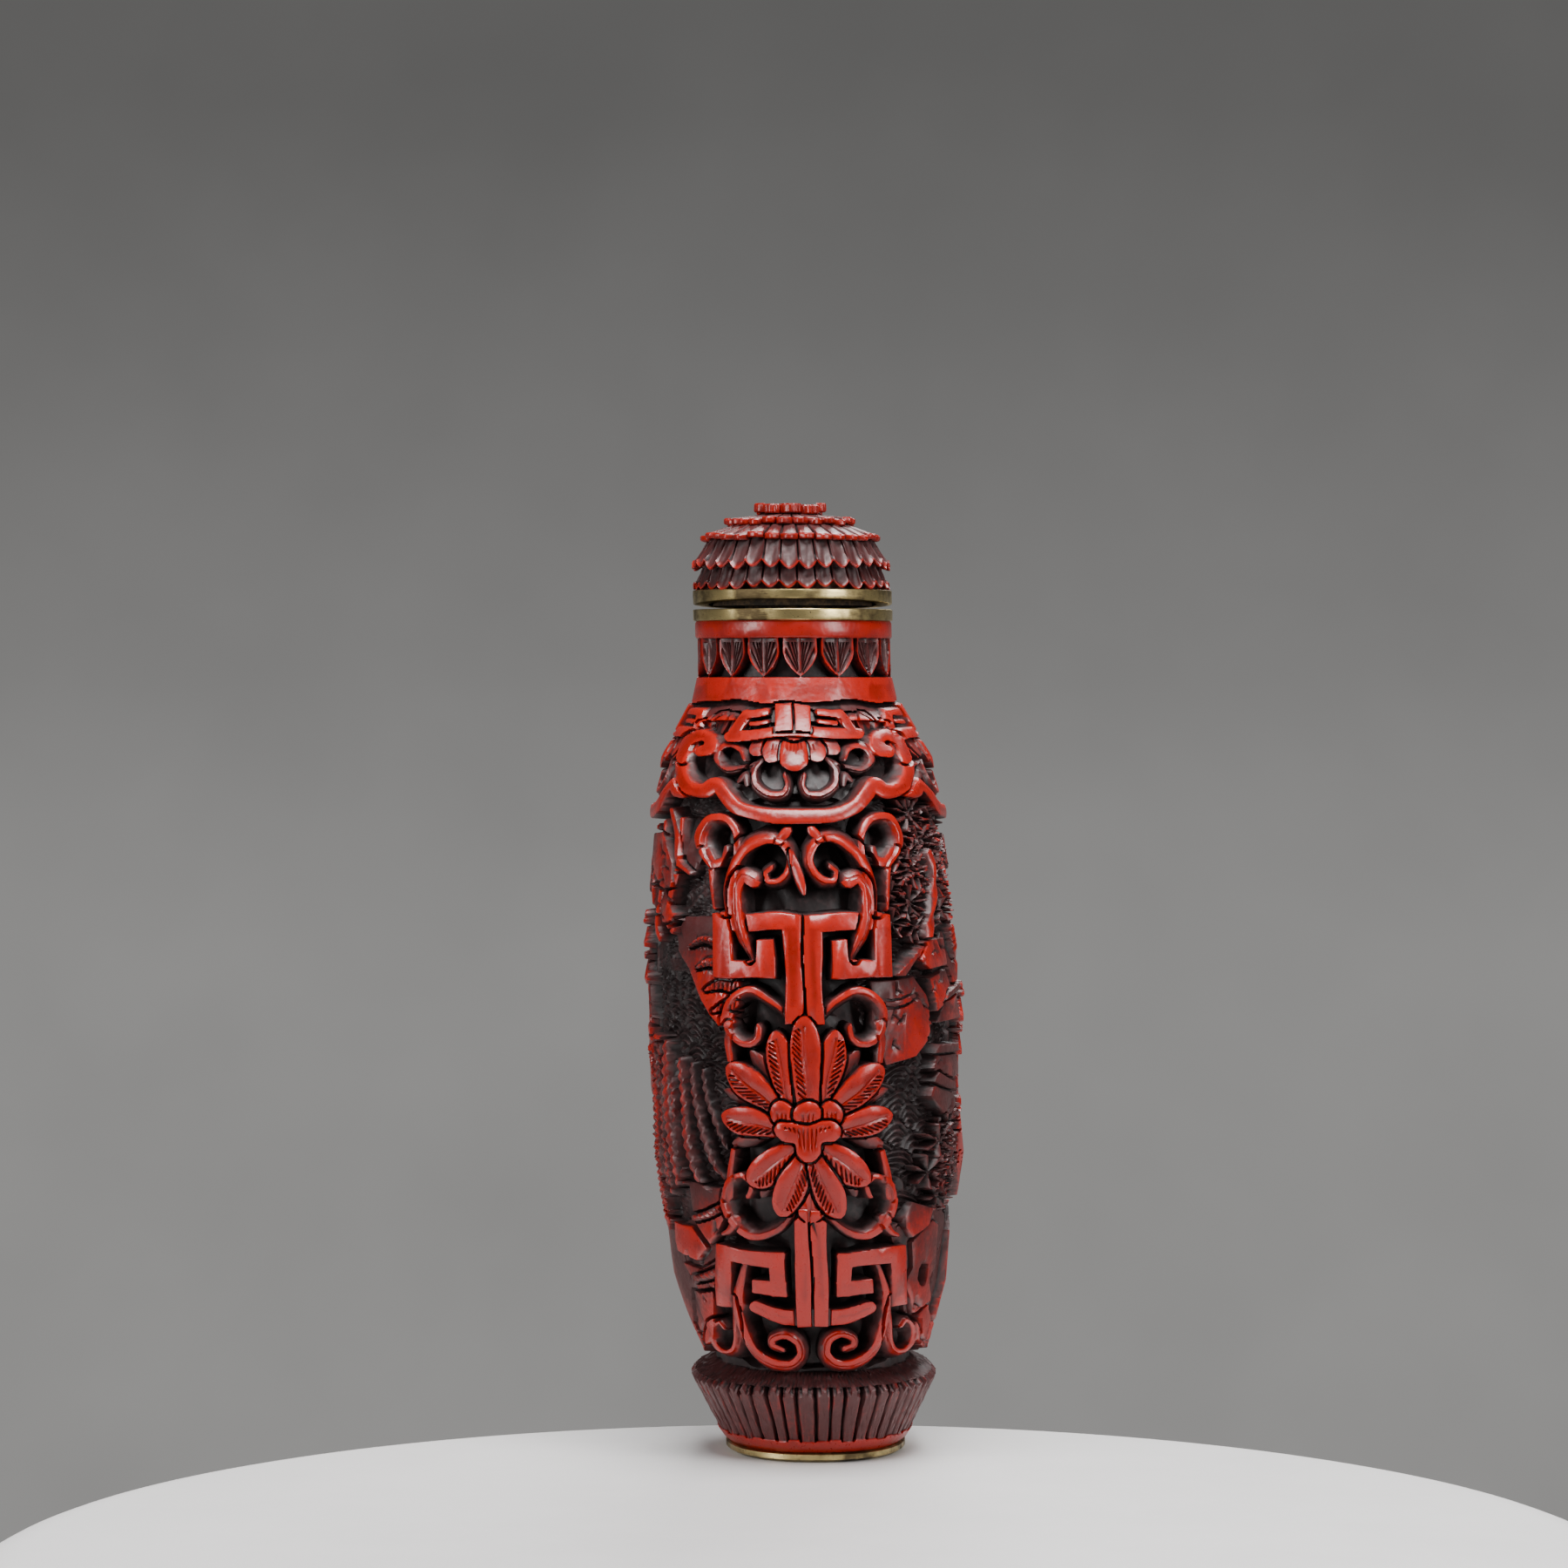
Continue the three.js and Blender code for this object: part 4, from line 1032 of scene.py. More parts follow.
def carve_left_edge(face):
    """A smooth faceted cliff under broken rocks, hanging fronds, and stepped rocks."""
    broken = [(-11.3, 55.2), (-9.4, 55.0), (-8.8, 54.6), (-8.4, 52.4)]
    broken += [(-9.4, 50.2), (-10.7, 50.5), (-11.2, 53.0)]
    rocks = (
        (broken, -0.45),
        ([(-13.0, 53.5), (-11.9, 53.8), (-11.0, 51.3), (-10.9, 49.1), (-11.9, 48.9), (-12.8, 51.3)], -0.1),
        ([(-13.5, 49.1), (-11.9, 48.9), (-10.5, 46.6), (-11.9, 46.1), (-13.2, 47.5)], 0.0),
    )
    for i, (outline, top) in enumerate(rocks):
        carve_rock(face, outline, 81 + 10 * i, top=top, cracks=4, relief=0.5, soil=0.3)
    face.ribbon(
        [(-10.9, 55.6), (-10.4, 53.6), (-10.5, 51.4), (-9.6, 50.4)], (0.4, 0.6, 0.4), top=-0.1, soil=0.2
    )
    cliff = [
        (-10.4, 46.9), (-7.6, 46.9), (-5.4, 46.6), (-5.2, 39.6), (-6.2, 37.7), (-7.2, 37.9), (-8.8, 40.0)
    ]
    cliff += [(-10.0, 42.3), (-11.2, 44.0), (-11.4, 45.3)]
    carve_rock(face, cliff, 82, top=0.05, facets=5, cracks=0, relief=0.35, soil=0.0)
    for u, low in ((44.6, -9.9), (42.7, -9.2), (41.0, -8.4), (39.4, -7.7)):
        shelf = [(low, u - 0.2), (low + 1.2, u + 0.35), (low + 2.6, u + 0.1), (-5.8, u + 0.5)]
        face.ribbon(shelf, (0.2, 0.7, 0.8, 0.5), top=-0.2, rim=1, shelf=0.5, moat=0.35)
        for i in range(7):
            a = low + 0.5 + 0.35 * i
            face.stroke((a, u + 0.7), (a - 0.15, u - 0.5), 0.13, 0.22)
    fronds = (
        ([(-12.0, 36.0), (-12.2, 32.0), (-11.9, 27.5), (-11.3, 24.0)], 0.0),
        ([(-10.9, 34.8), (-10.7, 31.5), (-10.5, 28.0), (-9.7, 25.1), (-8.6, 23.9)], -0.1),
        ([(-10.0, 34.6), (-9.8, 31.5), (-9.2, 28.6), (-8.4, 26.3), (-7.3, 25.0)], -0.3),
        ([(-9.2, 34.1), (-8.8, 31.7), (-8.0, 29.4), (-7.2, 27.6)], -0.5),
    )
    for route, top in fronds:
        carve_trunk(face, route, (0.35, 0.5, 0.6, 0.3), top=top, twist=0.95, soil=0.25)
    ledges = (
        ([(-11.0, 24.4), (-7.0, 24.2), (-6.9, 22.2), (-8.6, 19.2), (-10.2, 21.2)], -0.15, 0.2),
        ([(-11.8, 20.6), (-10.2, 20.6), (-8.9, 18.8), (-9.7, 17.6), (-11.4, 18.2)], -0.05, 0.0),
        ([(-11.2, 17.2), (-9.6, 16.8), (-7.9, 18.0), (-7.8, 15.6), (-9.9, 14.8)], -0.2, 0.2),
        ([(-10.8, 14.4), (-8.6, 15.2), (-7.7, 13.6), (-8.1, 10.9), (-9.2, 9.6), (-10.2, 11.4)], 0.0, 0.1),
    )
    for i, (outline, top, soil) in enumerate(ledges):
        carve_rock(face, outline, 83 + i, top=top, facets=3, cracks=1, relief=0.4, soil=soil)
    for u in (21.9, 16.4):
        rope = [(-10.0, u - 0.5), (-8.6, u + 0.1), (-7.2, u + 0.9)]
        carve_trunk(face, rope, (0.6, 0.75, 0.6), top=-0.05, twist=0.45, soil=0.3)


def carve_right_edge(face):
    """Leaf rosettes round a trunk, cracked crags over water, and a boulder with a worn hole."""
    near_leaves = (
        (9.9, 55.3, 1.5), (11.9, 55.0, 1.3), (10.7, 53.0, 1.6),
        (9.6, 50.7, 1.7), (9.6, 48.0, 1.5),
    )
    for a, u, radius in near_leaves:
        carve_star(face, (a, u), radius, top=-0.15, leaves=8, turn=a)
    far_leaves = (
        (12.2, 52.2, 1.2), (11.9, 49.6, 1.3), (8.0, 46.4, 1.3),
        (10.2, 45.9, 1.2), (12.6, 47.2, 1.1),
    )
    for a, u, radius in far_leaves:
        carve_star(face, (a, u), radius, top=-0.25, leaves=7, turn=u)
    carve_trunk(
        face, [(11.2, 52.2), (11.6, 50.0), (11.4, 48.0), (11.0, 45.0)], (0.4, 0.5, 0.6, 0.7), top=0.05,
        twist=3.0,
    )
    carve_rock(
        face, [(9.7, 43.3), (10.3, 44.6), (12.4, 44.9), (12.5, 42.6), (10.8, 42.3)], 85, top=0.0, cracks=3
    )
    slab = [(7.6, 42.1), (9.8, 44.1), (10.5, 44.3), (8.7, 41.9)]
    face.block(slab, top=0.0, tilt=(-0.3, 0.25), soil=0.45)
    crag = [
        (6.0, 41.6), (9.9, 41.8), (10.9, 40.2), (11.1, 38.0), (10.3, 36.4), (9.4, 35.3), (7.0, 34.6),
        (5.9, 37.5),
    ]
    carve_rock(face, crag, 86, top=0.1, facets=4, cracks=10, relief=0.4, soil=0.05)
    face.ribbon([(6.2, 39.9), (8.0, 39.6), (9.8, 40.2)], (0.35, 0.5, 0.3), top=-0.45, moat=0.2, soil=0.3)
    carve_rock(face, [(10.9, 41.6), (12.7, 42.2), (12.9, 40.2), (11.3, 38.9)], 87, top=0.05, cracks=3)
    steps = (
        [(11.4, 37.8), (12.2, 39.6), (13.5, 40.2), (13.4, 37.6)],
        [(10.9, 33.9), (11.3, 35.3), (13.4, 35.0), (13.4, 33.0), (12.0, 32.6)],
        [(10.7, 31.7), (11.2, 32.9), (12.9, 31.9), (13.4, 29.9), (12.2, 29.7)],
    )
    for i, outline in enumerate(steps):
        carve_rock(face, outline, 93 + i, top=-0.2, facets=2, cracks=1, relief=0.3, soil=0.45)
        (a, u), (b, v), *_ = outline[1:]
        face.block([(a - 0.3, u - 0.1), (b, v - 0.1), (b, v + 0.6), (a + 0.2, u + 0.6)], top=-0.05, soil=0.7)
    water_leaves = (
        (11.7, 27.8, 1.6), (10.7, 25.2, 1.6), (12.6, 25.6, 1.3),
        (12.7, 29.0, 1.1), (11.5, 22.9, 1.3),
    )
    for a, u, radius in water_leaves:
        carve_star(face, (a, u), radius, top=-0.15, leaves=7, turn=u, soil=0.35)
    carve_rock(
        face, [(8.1, 21.4), (9.2, 22.9), (10.9, 22.0), (10.2, 20.6), (8.8, 19.9)], 88, top=-0.15, cracks=2
    )
    boulder = [(9.0, 19.4), (10.8, 20.9), (11.4, 20.3), (11.3, 16.7), (10.7, 15.7), (10.4, 13.1), (9.7, 11.7)]
    boulder += [(8.8, 13.0), (8.3, 15.6), (9.0, 17.0)]
    carve_rock(face, boulder, 89, top=0.1, facets=3, cracks=1, relief=0.25, soil=0.0)
    hole = curve([(10.0, 17.4), (10.45, 16.9), (10.2, 15.6), (9.7, 15.2), (9.4, 16.2)], closed=True)
    face.lower_form(hole.min(0), hole.max(0), lambda a, u: np.where(is_inside(hole, a, u), -1.9, 9.0))
    carve_rock(
        face, [(9.0, 12.6), (10.3, 13.4), (10.5, 11.2), (9.6, 9.2), (8.9, 10.4)], 90, top=-0.05, cracks=1
    )


# ---- the body's skin ----
NARROW_REACH = 10.5  # the fine cells of a narrow side reach this far across
FLUTES = 60
NECK_LEAVES = 16
GIRTH = 107  # round the body
FOOT_GIRTH = 74
WIDE_LAPPET = 1.42  # the wide sides' lappets are stretched across by this


def table_at(rows, z):
    """Columns of a table at heights, straight between its rows."""
    table = np.asarray(rows, float)
    return [np.interp(z, table[:, 0], table[:, i]) for i in range(1, table.shape[1])]


def unit_oval(angles, squareness):
    """Points of a superellipse with half axes of 1."""
    c, s = np.cos(angles), np.sin(angles)
    return np.sign(c) * np.abs(c) ** (2 / squareness), np.sign(s) * np.abs(s) ** (2 / squareness)


def column_angles(cell):
    """Angles of the columns from the middle of the back, close together round the narrow sides."""
    angles = np.linspace(math.pi / 2, math.pi * 2.5, 40001)
    x, y = unit_oval(angles, SQUARENESS)
    half_x, half_y = 13.6, 21.1
    run = np.hypot(np.diff(x * half_x), np.diff(y * half_y))
    middle = (angles[1:] + angles[:-1]) / 2
    across = np.abs(half_x * unit_oval(middle, SQUARENESS)[0])
    front = np.sin(middle) < 0
    size = np.where(front & (across < NARROW_REACH), 1.0, 1.8)
    count = np.concatenate([[0], np.cumsum(run / (size * cell))])
    whole = int(round(count[-1]))
    share = np.concatenate([[0], np.cumsum(run)]) / run.sum()
    picked = np.interp(np.arange(whole) * count[-1] / whole, count, angles)
    return picked, np.interp(picked, angles, share)


def row_heights(cell):
    """Heights of the rows from the foot to the top of the neck, close together in the carving."""
    spans = (
        (FOOT_BOTTOM, FLUTE_BOTTOM - 0.2, 4.0),
        (FLUTE_BOTTOM - 0.2, FLUTE_BOTTOM + 0.2, 1.0),
        (FLUTE_BOTTOM + 0.2, FLUTE_TOP - 0.5, 2.5),
        (FLUTE_TOP - 0.5, CARVING_BOTTOM, 1.0),
        (CARVING_BOTTOM, CARVING_TOP, 1.0),
        (CARVING_TOP, LEAVES_TOP + 0.2, 1.0),
        (LEAVES_TOP + 0.2, NECK_TOP, 2.0),
    )
    heights = []
    for low, high, size in spans:
        heights.append(np.linspace(low, high, max(2, round((high - low) / (size * cell))), endpoint=False))
    return np.concatenate(heights + [[NECK_TOP]])


def skin(heights, angles):
    """Outer skin at each row and column: x, y and the outward direction, before any carving."""
    half_x, half_y = table_at(FOOT + CARVED + ((NECK_TOP, NECK_RADIUS, NECK_RADIUS),), heights)
    on_foot = heights < CARVING_BOTTOM
    foot_x, foot_y = table_at(FOOT, heights)
    half_x = np.where(on_foot, foot_x, half_x)
    half_y = np.where(on_foot, foot_y, half_y)
    squareness = 2 + (SQUARENESS - 2) * step_up((63.0 - heights) / 5.0)
    x, y = unit_oval(angles[None, :], squareness[:, None])
    slope_x = np.sign(x) * np.abs(x) ** (squareness[:, None] - 1) / half_x[:, None]
    slope_y = np.sign(y) * np.abs(y) ** (squareness[:, None] - 1) / half_y[:, None]
    length = np.hypot(slope_x, slope_y)
    return x * half_x[:, None], y * half_y[:, None], slope_x / length, slope_y / length


def carve_foot(z, share, cut):
    """Cut and darkening of the flutes with their chamfered tops, and of the rough upper side of the rim. The
    flute faces are duller than their worn red edges, and the rim's upper side is darkened almost to the
    ground's tone as painted shade under the carving.
    """
    flute = share * FLUTES + 0.14 * ripple(share * 60, z * 0.15, 3.0, 12)
    pitch = FOOT_GIRTH / FLUTES
    off = np.abs(flute - np.round(flute)) * pitch
    number = np.floor(flute)
    start = FLUTE_BOTTOM + 0.1 * np.sin(number * 2.3)
    top = FLUTE_TOP - 0.1 + 0.1 * np.sin(number * 1.7)
    groove = -0.75 * np.exp(-((off / 0.13) ** 2))
    face = -0.1 * np.clip((off - 0.16) / 0.1, 0, 1) - 0.05 - 0.05 * ripple(share * 300, z, 1.2, 13)
    point = np.clip((z - top + 0.25 + 0.5 * (0.4 - off)) / 0.35, 0, 1)
    on_flute = step_up((z - start) / 0.1) * step_up((FLUTE_TOP + 0.4 - z) / 0.12)
    fluted = on_flute * (groove + face - 0.4 * point * (off < 0.42))
    rough = -0.12 + 0.14 * ripple(share * 300, z * 2, 0.8, 14)
    cut += np.where(z < FLUTE_TOP + 0.35, fluted, rough)
    # flute faces duller than their worn edges; painted shade on the rough top of the rim
    soil = on_flute * (0.2 + 0.4 * np.clip((off - 0.12) / 0.2, 0, 1))
    return cut, np.where(z < FLUTE_TOP + 0.35, soil, 0.95)


def carve_neck(z, around, cut):
    """Cut and darkening of the ledge, the flared band, the ring of leaves and the smooth band. The cove under
    the flared band is darkened as painted shade, and the leaves are duller inside.
    """
    soil = np.zeros(z.shape)
    wave = 0.14 * np.sin(around * 5 + 0.6) + 0.08 * np.sin(around * 11)
    ledge = LEDGE + 0.6 * wave
    cove = np.clip((z - ledge) / (64.75 - ledge), 0, 1)
    cove = 0.12 - 0.95 * cove**0.8 - 0.14 * np.clip(1 - (z - ledge) / 0.2, 0, 1) ** 2
    band_low = 64.8 + wave
    band = -0.02 - 0.12 * np.clip((0.35 - (z - band_low)) / 0.35, 0, 1) ** 2
    band = band + 0.05 * ripple(around * 8.5, z, 5.0, 16)
    plain = np.where(z > band_low, band, cove)
    cut = np.where(z > ledge, plain, cut)
    # painted shade in the cove under the flared band
    soil = np.where((z > ledge + 0.25) & (z < band_low), 0.35, soil)

    pitch = 2 * math.pi * NECK_RADIUS / NECK_LEAVES
    turn = around / (2 * math.pi) * NECK_LEAVES + 0.05 * np.sin(around * 3) + 0.3
    across = (turn - np.floor(turn) - 0.5) * pitch
    drop = (LEAVES_TOP - z) / (LEAVES_TOP - CARVING_TOP)
    point = np.clip(1 - np.clip((drop - 0.3) / 0.68, 0, 1) ** 1.9, 0, 1)
    half = (pitch / 2 - 0.07) * (1 - 0.1 * (1 - drop)) * point
    off = np.abs(across) - half
    cup = -0.1 - 0.28 * np.clip(-off / 0.5, 0, 1) * (1 - 0.5 * drop)
    midrib = 0.16 * np.exp(-((across / 0.12) ** 2)) * (drop < 0.85)
    fan = np.arctan2(np.abs(across) + 0.12, 0.95 - drop + 0.1) / 0.2
    veined = (np.abs(across) > 0.16) * (off < -0.2) * (drop > 0.12)
    veins = -0.24 * np.exp(-(((fan % 1 - 0.5) / 0.22) ** 2)) * veined
    leaf = cup + midrib + veins
    inside = off < 0
    leaf = np.where(inside, leaf, np.maximum(-1.25, -0.2 - 1.2 * off / 0.14))
    in_leaves = (z > CARVING_TOP + 0.05) & (z < LEAVES_TOP)
    cut = np.where(in_leaves, leaf, cut)
    soil = np.where(in_leaves & inside, 0.12 + 0.2 * np.clip(-off / 0.3, 0, 1), soil)
    top_band = 0.02 - 0.1 * np.clip((0.2 - (z - LEAVES_TOP)) / 0.2, 0, 1) ** 2
    top_band = top_band - 0.12 * np.clip((z - NECK_TOP + 0.25) / 0.25, 0, 1) ** 2
    return np.where(z >= LEAVES_TOP, top_band + 0.03 * ripple(around * 8.5, z, 6.0, 17), cut), soil


def spread(values, rows, columns):
    """Box average of a sheet that closes on itself across, over so many rows and columns each way."""
    wide = np.pad(values, ((rows, rows), (0, 0)), mode="edge")
    wide = np.pad(wide, ((0, 0), (columns, columns)), mode="wrap")
    total = np.pad(wide.cumsum(0).cumsum(1), ((1, 0), (1, 0)))
    height, width = 2 * rows + 1, 2 * columns + 1
    block = total[height:, width:] - total[:-height, width:]
    block = block - total[height:, :-width] + total[:-height, :-width]
    return block / (height * width)


def gentler(rises):
    """Slope of each row: the lesser of those on its two sides, so that an edge counts as flat."""
    rises = np.abs(rises)
    return np.minimum(np.vstack([rises[:1], rises]), np.vstack([rises, rises[-1:]]))


def gentler_round(cut, step):
    """The same across the columns, which close on themselves."""
    rises = np.abs(cut - np.roll(cut, 1, axis=1)) / step
    return np.minimum(rises, np.roll(rises, -1, axis=1))


def carve_body(cell, unevenness):
    """All cuts over the skin, with the rows and columns that they stand on."""
    angles, share = column_angles(cell)
    heights = row_heights(cell)
    x, y, out_x, out_y = skin(heights, angles)
    z = np.repeat(heights[:, None], len(angles), axis=1)
    ground = -1.35 + 0.12 * ripple(share[None, :] * GIRTH, z, 4.0, 18)
    carved = (z >= CARVING_BOTTOM) & (z < CARVING_TOP)
    cut = np.where(carved, ground - 0.35 * step_up((9.5 - z) / 1.0), 0.0)
    # below the lappets the ground is cut back under their edges
    cut = np.where(carved & (z > 54) & (z < 63), np.minimum(cut, -1.6), cut)

    soil = np.zeros(z.shape)
    carving = (heights > CARVING_BOTTOM) & (heights < CARVING_TOP)
    first, last = np.nonzero(carving)[0][[0, -1]]
    rows = slice(first, last + 1)

    def side(across, chosen, steps):
        columns = np.nonzero(chosen)[0]
        if columns[0] == 0 and columns[-1] == len(angles) - 1:
            split = np.nonzero(np.diff(columns) > 1)[0][0] + 1
            columns = np.concatenate([columns[split:], columns[:split]])
        sheets = [sheet[rows][:, columns] for sheet in (across, z, cut, soil)]
        face = Face(*sheets, unevenness)
        for step, *settings in steps:
            step(face, *settings)
        cut[first : last + 1, columns] = face.cut
        soil[first : last + 1, columns] = face.soil

    unit_x, unit_y = unit_oval(angles, SQUARENESS)
    wide, narrow = 0.975, 0.995
    side(y, (unit_x > 0) & (np.abs(unit_y) < wide), [(carve_lake_scene,)])
    side(-y, (unit_x < 0) & (np.abs(unit_y) < wide), [(carve_willow_scene,)])
    side(x, (unit_y < 0) & (np.abs(unit_x) < narrow), [(carve_edges_of_scenes,), (carve_narrow_side,)])
    side(-x, (unit_y > 0) & (np.abs(unit_x) < narrow), [(carve_narrow_side,)])
    on_neck = heights > NECK_BOTTOM
    around = np.broadcast_to(angles[None, :], z.shape)
    cut[on_neck], soil[on_neck] = carve_neck(z[on_neck], around[on_neck], cut[on_neck])
    side(y, (unit_x > 0) & (np.abs(unit_y) < wide), [(carve_lappet, WIDE_LAPPET)])
    side(-y, (unit_x < 0) & (np.abs(unit_y) < wide), [(carve_lappet, WIDE_LAPPET)])
    side(x, (unit_y < 0) & (np.abs(unit_x) < narrow), [(carve_lappet,)])
    side(-x, (unit_y > 0) & (np.abs(unit_x) < narrow), [(carve_lappet,)])

    around = np.broadcast_to(share[None, :], z.shape)
    on_foot = heights < CARVING_BOTTOM
    cut[on_foot], soil[on_foot] = carve_foot(z[on_foot], around[on_foot], cut[on_foot])
    # Painted shade: steep walls are darkened. Each point's slope is the gentler of its two sides, so the edge
    # between a wall and a flat face keeps its red.
    step = np.hypot(x - np.roll(x, 1, axis=1), y - np.roll(y, 1, axis=1))
    steep = np.hypot(gentler(np.diff(cut, axis=0) / np.diff(heights)[:, None]), gentler_round(cut, step))
    soil = soil + 0.6 * np.clip((steep - 0.5) / 1.2, 0, 1)
    return share, x + out_x * cut, y + out_y * cut, z, cut, soil, angles


def hollow_rows(angles):
    """Rings over the mouth and down the inside to the bottom of the hollow."""
    table = np.asarray(HOLLOW, float)
    rings = [(NECK_TOP, NECK_RADIUS - 0.15, NECK_RADIUS - 0.15), (NECK_TOP, 6.5, 6.5)]
    rings += [(NECK_TOP, BORE_RADIUS + 0.2, BORE_RADIUS + 0.2)]
    for z in np.linspace(NECK_TOP - 0.1, HOLLOW[0][0], 40):
        rings.append((z, np.interp(z, table[:, 0], table[:, 1]), np.interp(z, table[:, 0], table[:, 2])))
    rings = np.array(rings)
    x = rings[:, 1:2] * np.cos(angles)
    y = rings[:, 2:3] * np.sin(angles)
    return x, y, np.repeat(rings[:, :1], len(angles), axis=1)


def leaning(points):
    """Leans points in mm as the whole bottle leans, and turns them to metres."""
    moved = points.copy()
    moved[:, 0] += LEAN * (LEAN_FROM - moved[:, 2])
    return moved * MM


def sheet_mesh(name, x, y, z, ends, uv, attributes):
    """Mesh of rings of points from the outside over the top to the inside, closed by two end points."""
    rows, columns = x.shape
    points = np.stack([x.ravel(), y.ravel(), z.ravel()], axis=1)
    points = leaning(np.vstack([points, ends]))
    index = np.arange(rows * columns).reshape(rows, columns)
    beside = np.roll(index, -1, axis=1)
    quads = np.stack([index[:-1], beside[:-1], beside[1:], index[1:]], axis=-1).reshape(-1, 4)
    low, high = rows * columns, rows * columns + 1
    bottom = np.stack([np.full(columns, low), beside[0], index[0]], axis=-1)
    top = np.stack([np.full(columns, high), index[-1], beside[-1]], axis=-1)
    triangles = np.vstack([bottom, top])

    mesh = bpy.data.meshes.new(name)
    mesh.vertices.add(len(points))
    mesh.vertices.foreach_set("co", points.astype(np.float32).ravel())
    mesh.loops.add(quads.size + triangles.size)
    mesh.loops.foreach_set(
        "vertex_index", np.concatenate([quads.ravel(), triangles.ravel()]).astype(np.int32)
    )
    mesh.polygons.add(len(quads) + len(triangles))
    starts = np.concatenate([np.arange(len(quads)) * 4, quads.size + np.arange(len(triangles)) * 3])
    mesh.polygons.foreach_set("loop_start", starts.astype(np.int32))
    mesh.update(calc_edges=True)

    u, v = uv
    low_u = np.broadcast_to(u[None, :-1], (rows - 1, columns))
    high_u = np.broadcast_to(u[None, 1:], (rows - 1, columns))
    low_v = np.broadcast_to(v[:-1, None], (rows - 1, columns))
    high_v = np.broadcast_to(v[1:, None], (rows - 1, columns))
    corners = [(low_u, low_v), (high_u, low_v), (high_u, high_v), (low_u, high_v)]
    quad_uv = np.stack([np.stack(c, axis=-1) for c in corners], axis=2).reshape(-1, 2)
    half_u = (u[:-1] + u[1:]) / 2
    bottom_uv = np.stack([half_u, 0 * half_u, u[1:], 0 * half_u + v[0], u[:-1], 0 * half_u + v[0]], axis=-1)
    top_uv = np.stack(
        [half_u, 0 * half_u + 1, u[:-1], 0 * half_u + v[-1], u[1:], 0 * half_u + v[-1]], axis=-1
    )
    loops = np.vstack([quad_uv, bottom_uv.reshape(-1, 2), top_uv.reshape(-1, 2)])
    layer = mesh.uv_layers.new(name="OFBake")
    layer.uv.foreach_set("vector", loops.astype(np.float32).ravel())

    for label, (values, at_ends) in attributes.items():
        layer = mesh.attributes.new(label, "FLOAT", "POINT")
        layer.data.foreach_set("value", np.concatenate([values.ravel(), at_ends]).astype(np.float32))
    return mesh


def finish_mesh(mesh, sharp=38):
    """Smooth shading with sharp edges over an angle in degrees."""
    mesh.shade_smooth()
    mesh.set_sharp_from_angle(angle=math.radians(sharp))
    mesh.validate()


def reduced(mesh, faces):
    """The mesh with so many triangles, most of them kept where the surface bends."""
    rough = bpy.data.objects.new(mesh.name, mesh)
    bpy.context.scene.collection.objects.link(rough)
    triangles = len(mesh.loops) - 2 * len(mesh.polygons)
    shrink = rough.modifiers.new("reduce", "DECIMATE")
    shrink.ratio = min(1.0, faces / triangles)
    graph = bpy.context.evaluated_depsgraph_get()
    result = bpy.data.meshes.new_from_object(
        rough.evaluated_get(graph), preserve_all_data_layers=True, depsgraph=graph
    )
    bpy.data.objects.remove(rough)
    return result


def add_piece(name, mesh, material, slot, *nodes):
    """Object in the scene that rides on the bottle and stands for CAD nodes."""
    mesh.materials.clear()
    mesh.materials.append(material)
    piece = bpy.data.objects.new(name, mesh)
    bpy.context.scene.collection.objects.link(piece)
    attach(piece, "root")
    if nodes:
        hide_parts(*nodes)
    return piece


# ---- the stopper's cap ----
CAP_COLUMNS = 34 * 22


def petal_ring(angles, count, seed, drift=0.12):
    """For each angle: place across its petal from -1 to 1, and two chance values of that petal."""
    chance = np.random.default_rng(seed)
    stray = drift * ripple(angles * 3, 0 * angles, 6.0, seed)
    turn = angles / (2 * math.pi) * count + stray + chance.uniform()
    number = np.floor(turn).astype(int) % count
    lift, swell = chance.uniform(-1, 1, (2, count))
    return 2 * (turn - np.floor(turn)) - 1, lift[number], swell[number]


def skirt(angles, count, seed, low, high, tongue=0.55):
    """Rows of a hanging ring of petals, from the tips up: radius, height and darkening at each angle. The
    faces are duller than the red rims, and shade is painted into the gaps between petals and under their
    tips.
    """
    place, lift, swell = petal_ring(angles, count, seed)
    (low_radius, low_z), (high_radius, high_z) = low, high
    tip_z = low_z + tongue * np.abs(place) ** 1.7 + 0.16 * lift
    tip_radius = low_radius - 0.1 * np.abs(place) ** 2 + 0.12 * swell
    gap = np.exp(-(((1 - np.abs(place)) / 0.11) ** 2))
    clean = 0 * angles + 0.12
    # the rows tucked under each tip are darkened as painted shade
    rows = [(tip_radius - 0.8, tip_z + 0.35, clean + 0.9), (tip_radius - 0.3, tip_z + 0.04, clean + 0.3)]
    rows += [(tip_radius - 0.05, tip_z, clean), (tip_radius + 0.02, tip_z + 0.12, clean)]
    for t in np.linspace(0.12, 1, 12):
        z = tip_z + (high_z - tip_z) * t
        radius = tip_radius + (high_radius - tip_radius) * t
        inner = np.clip((0.86 - np.abs(place)) / 0.12, 0, 1) * min(1.0, 3.5 * t)
        # faces duller than rims and darker towards the top; painted shade in the gaps between petals
        soil = 0.15 + 0.75 * inner + 0.4 * t + 1.5 * gap
        rows.append((radius - 0.13 * inner - 0.55 * gap * min(1.0, 3 * t), z, soil))
    return rows


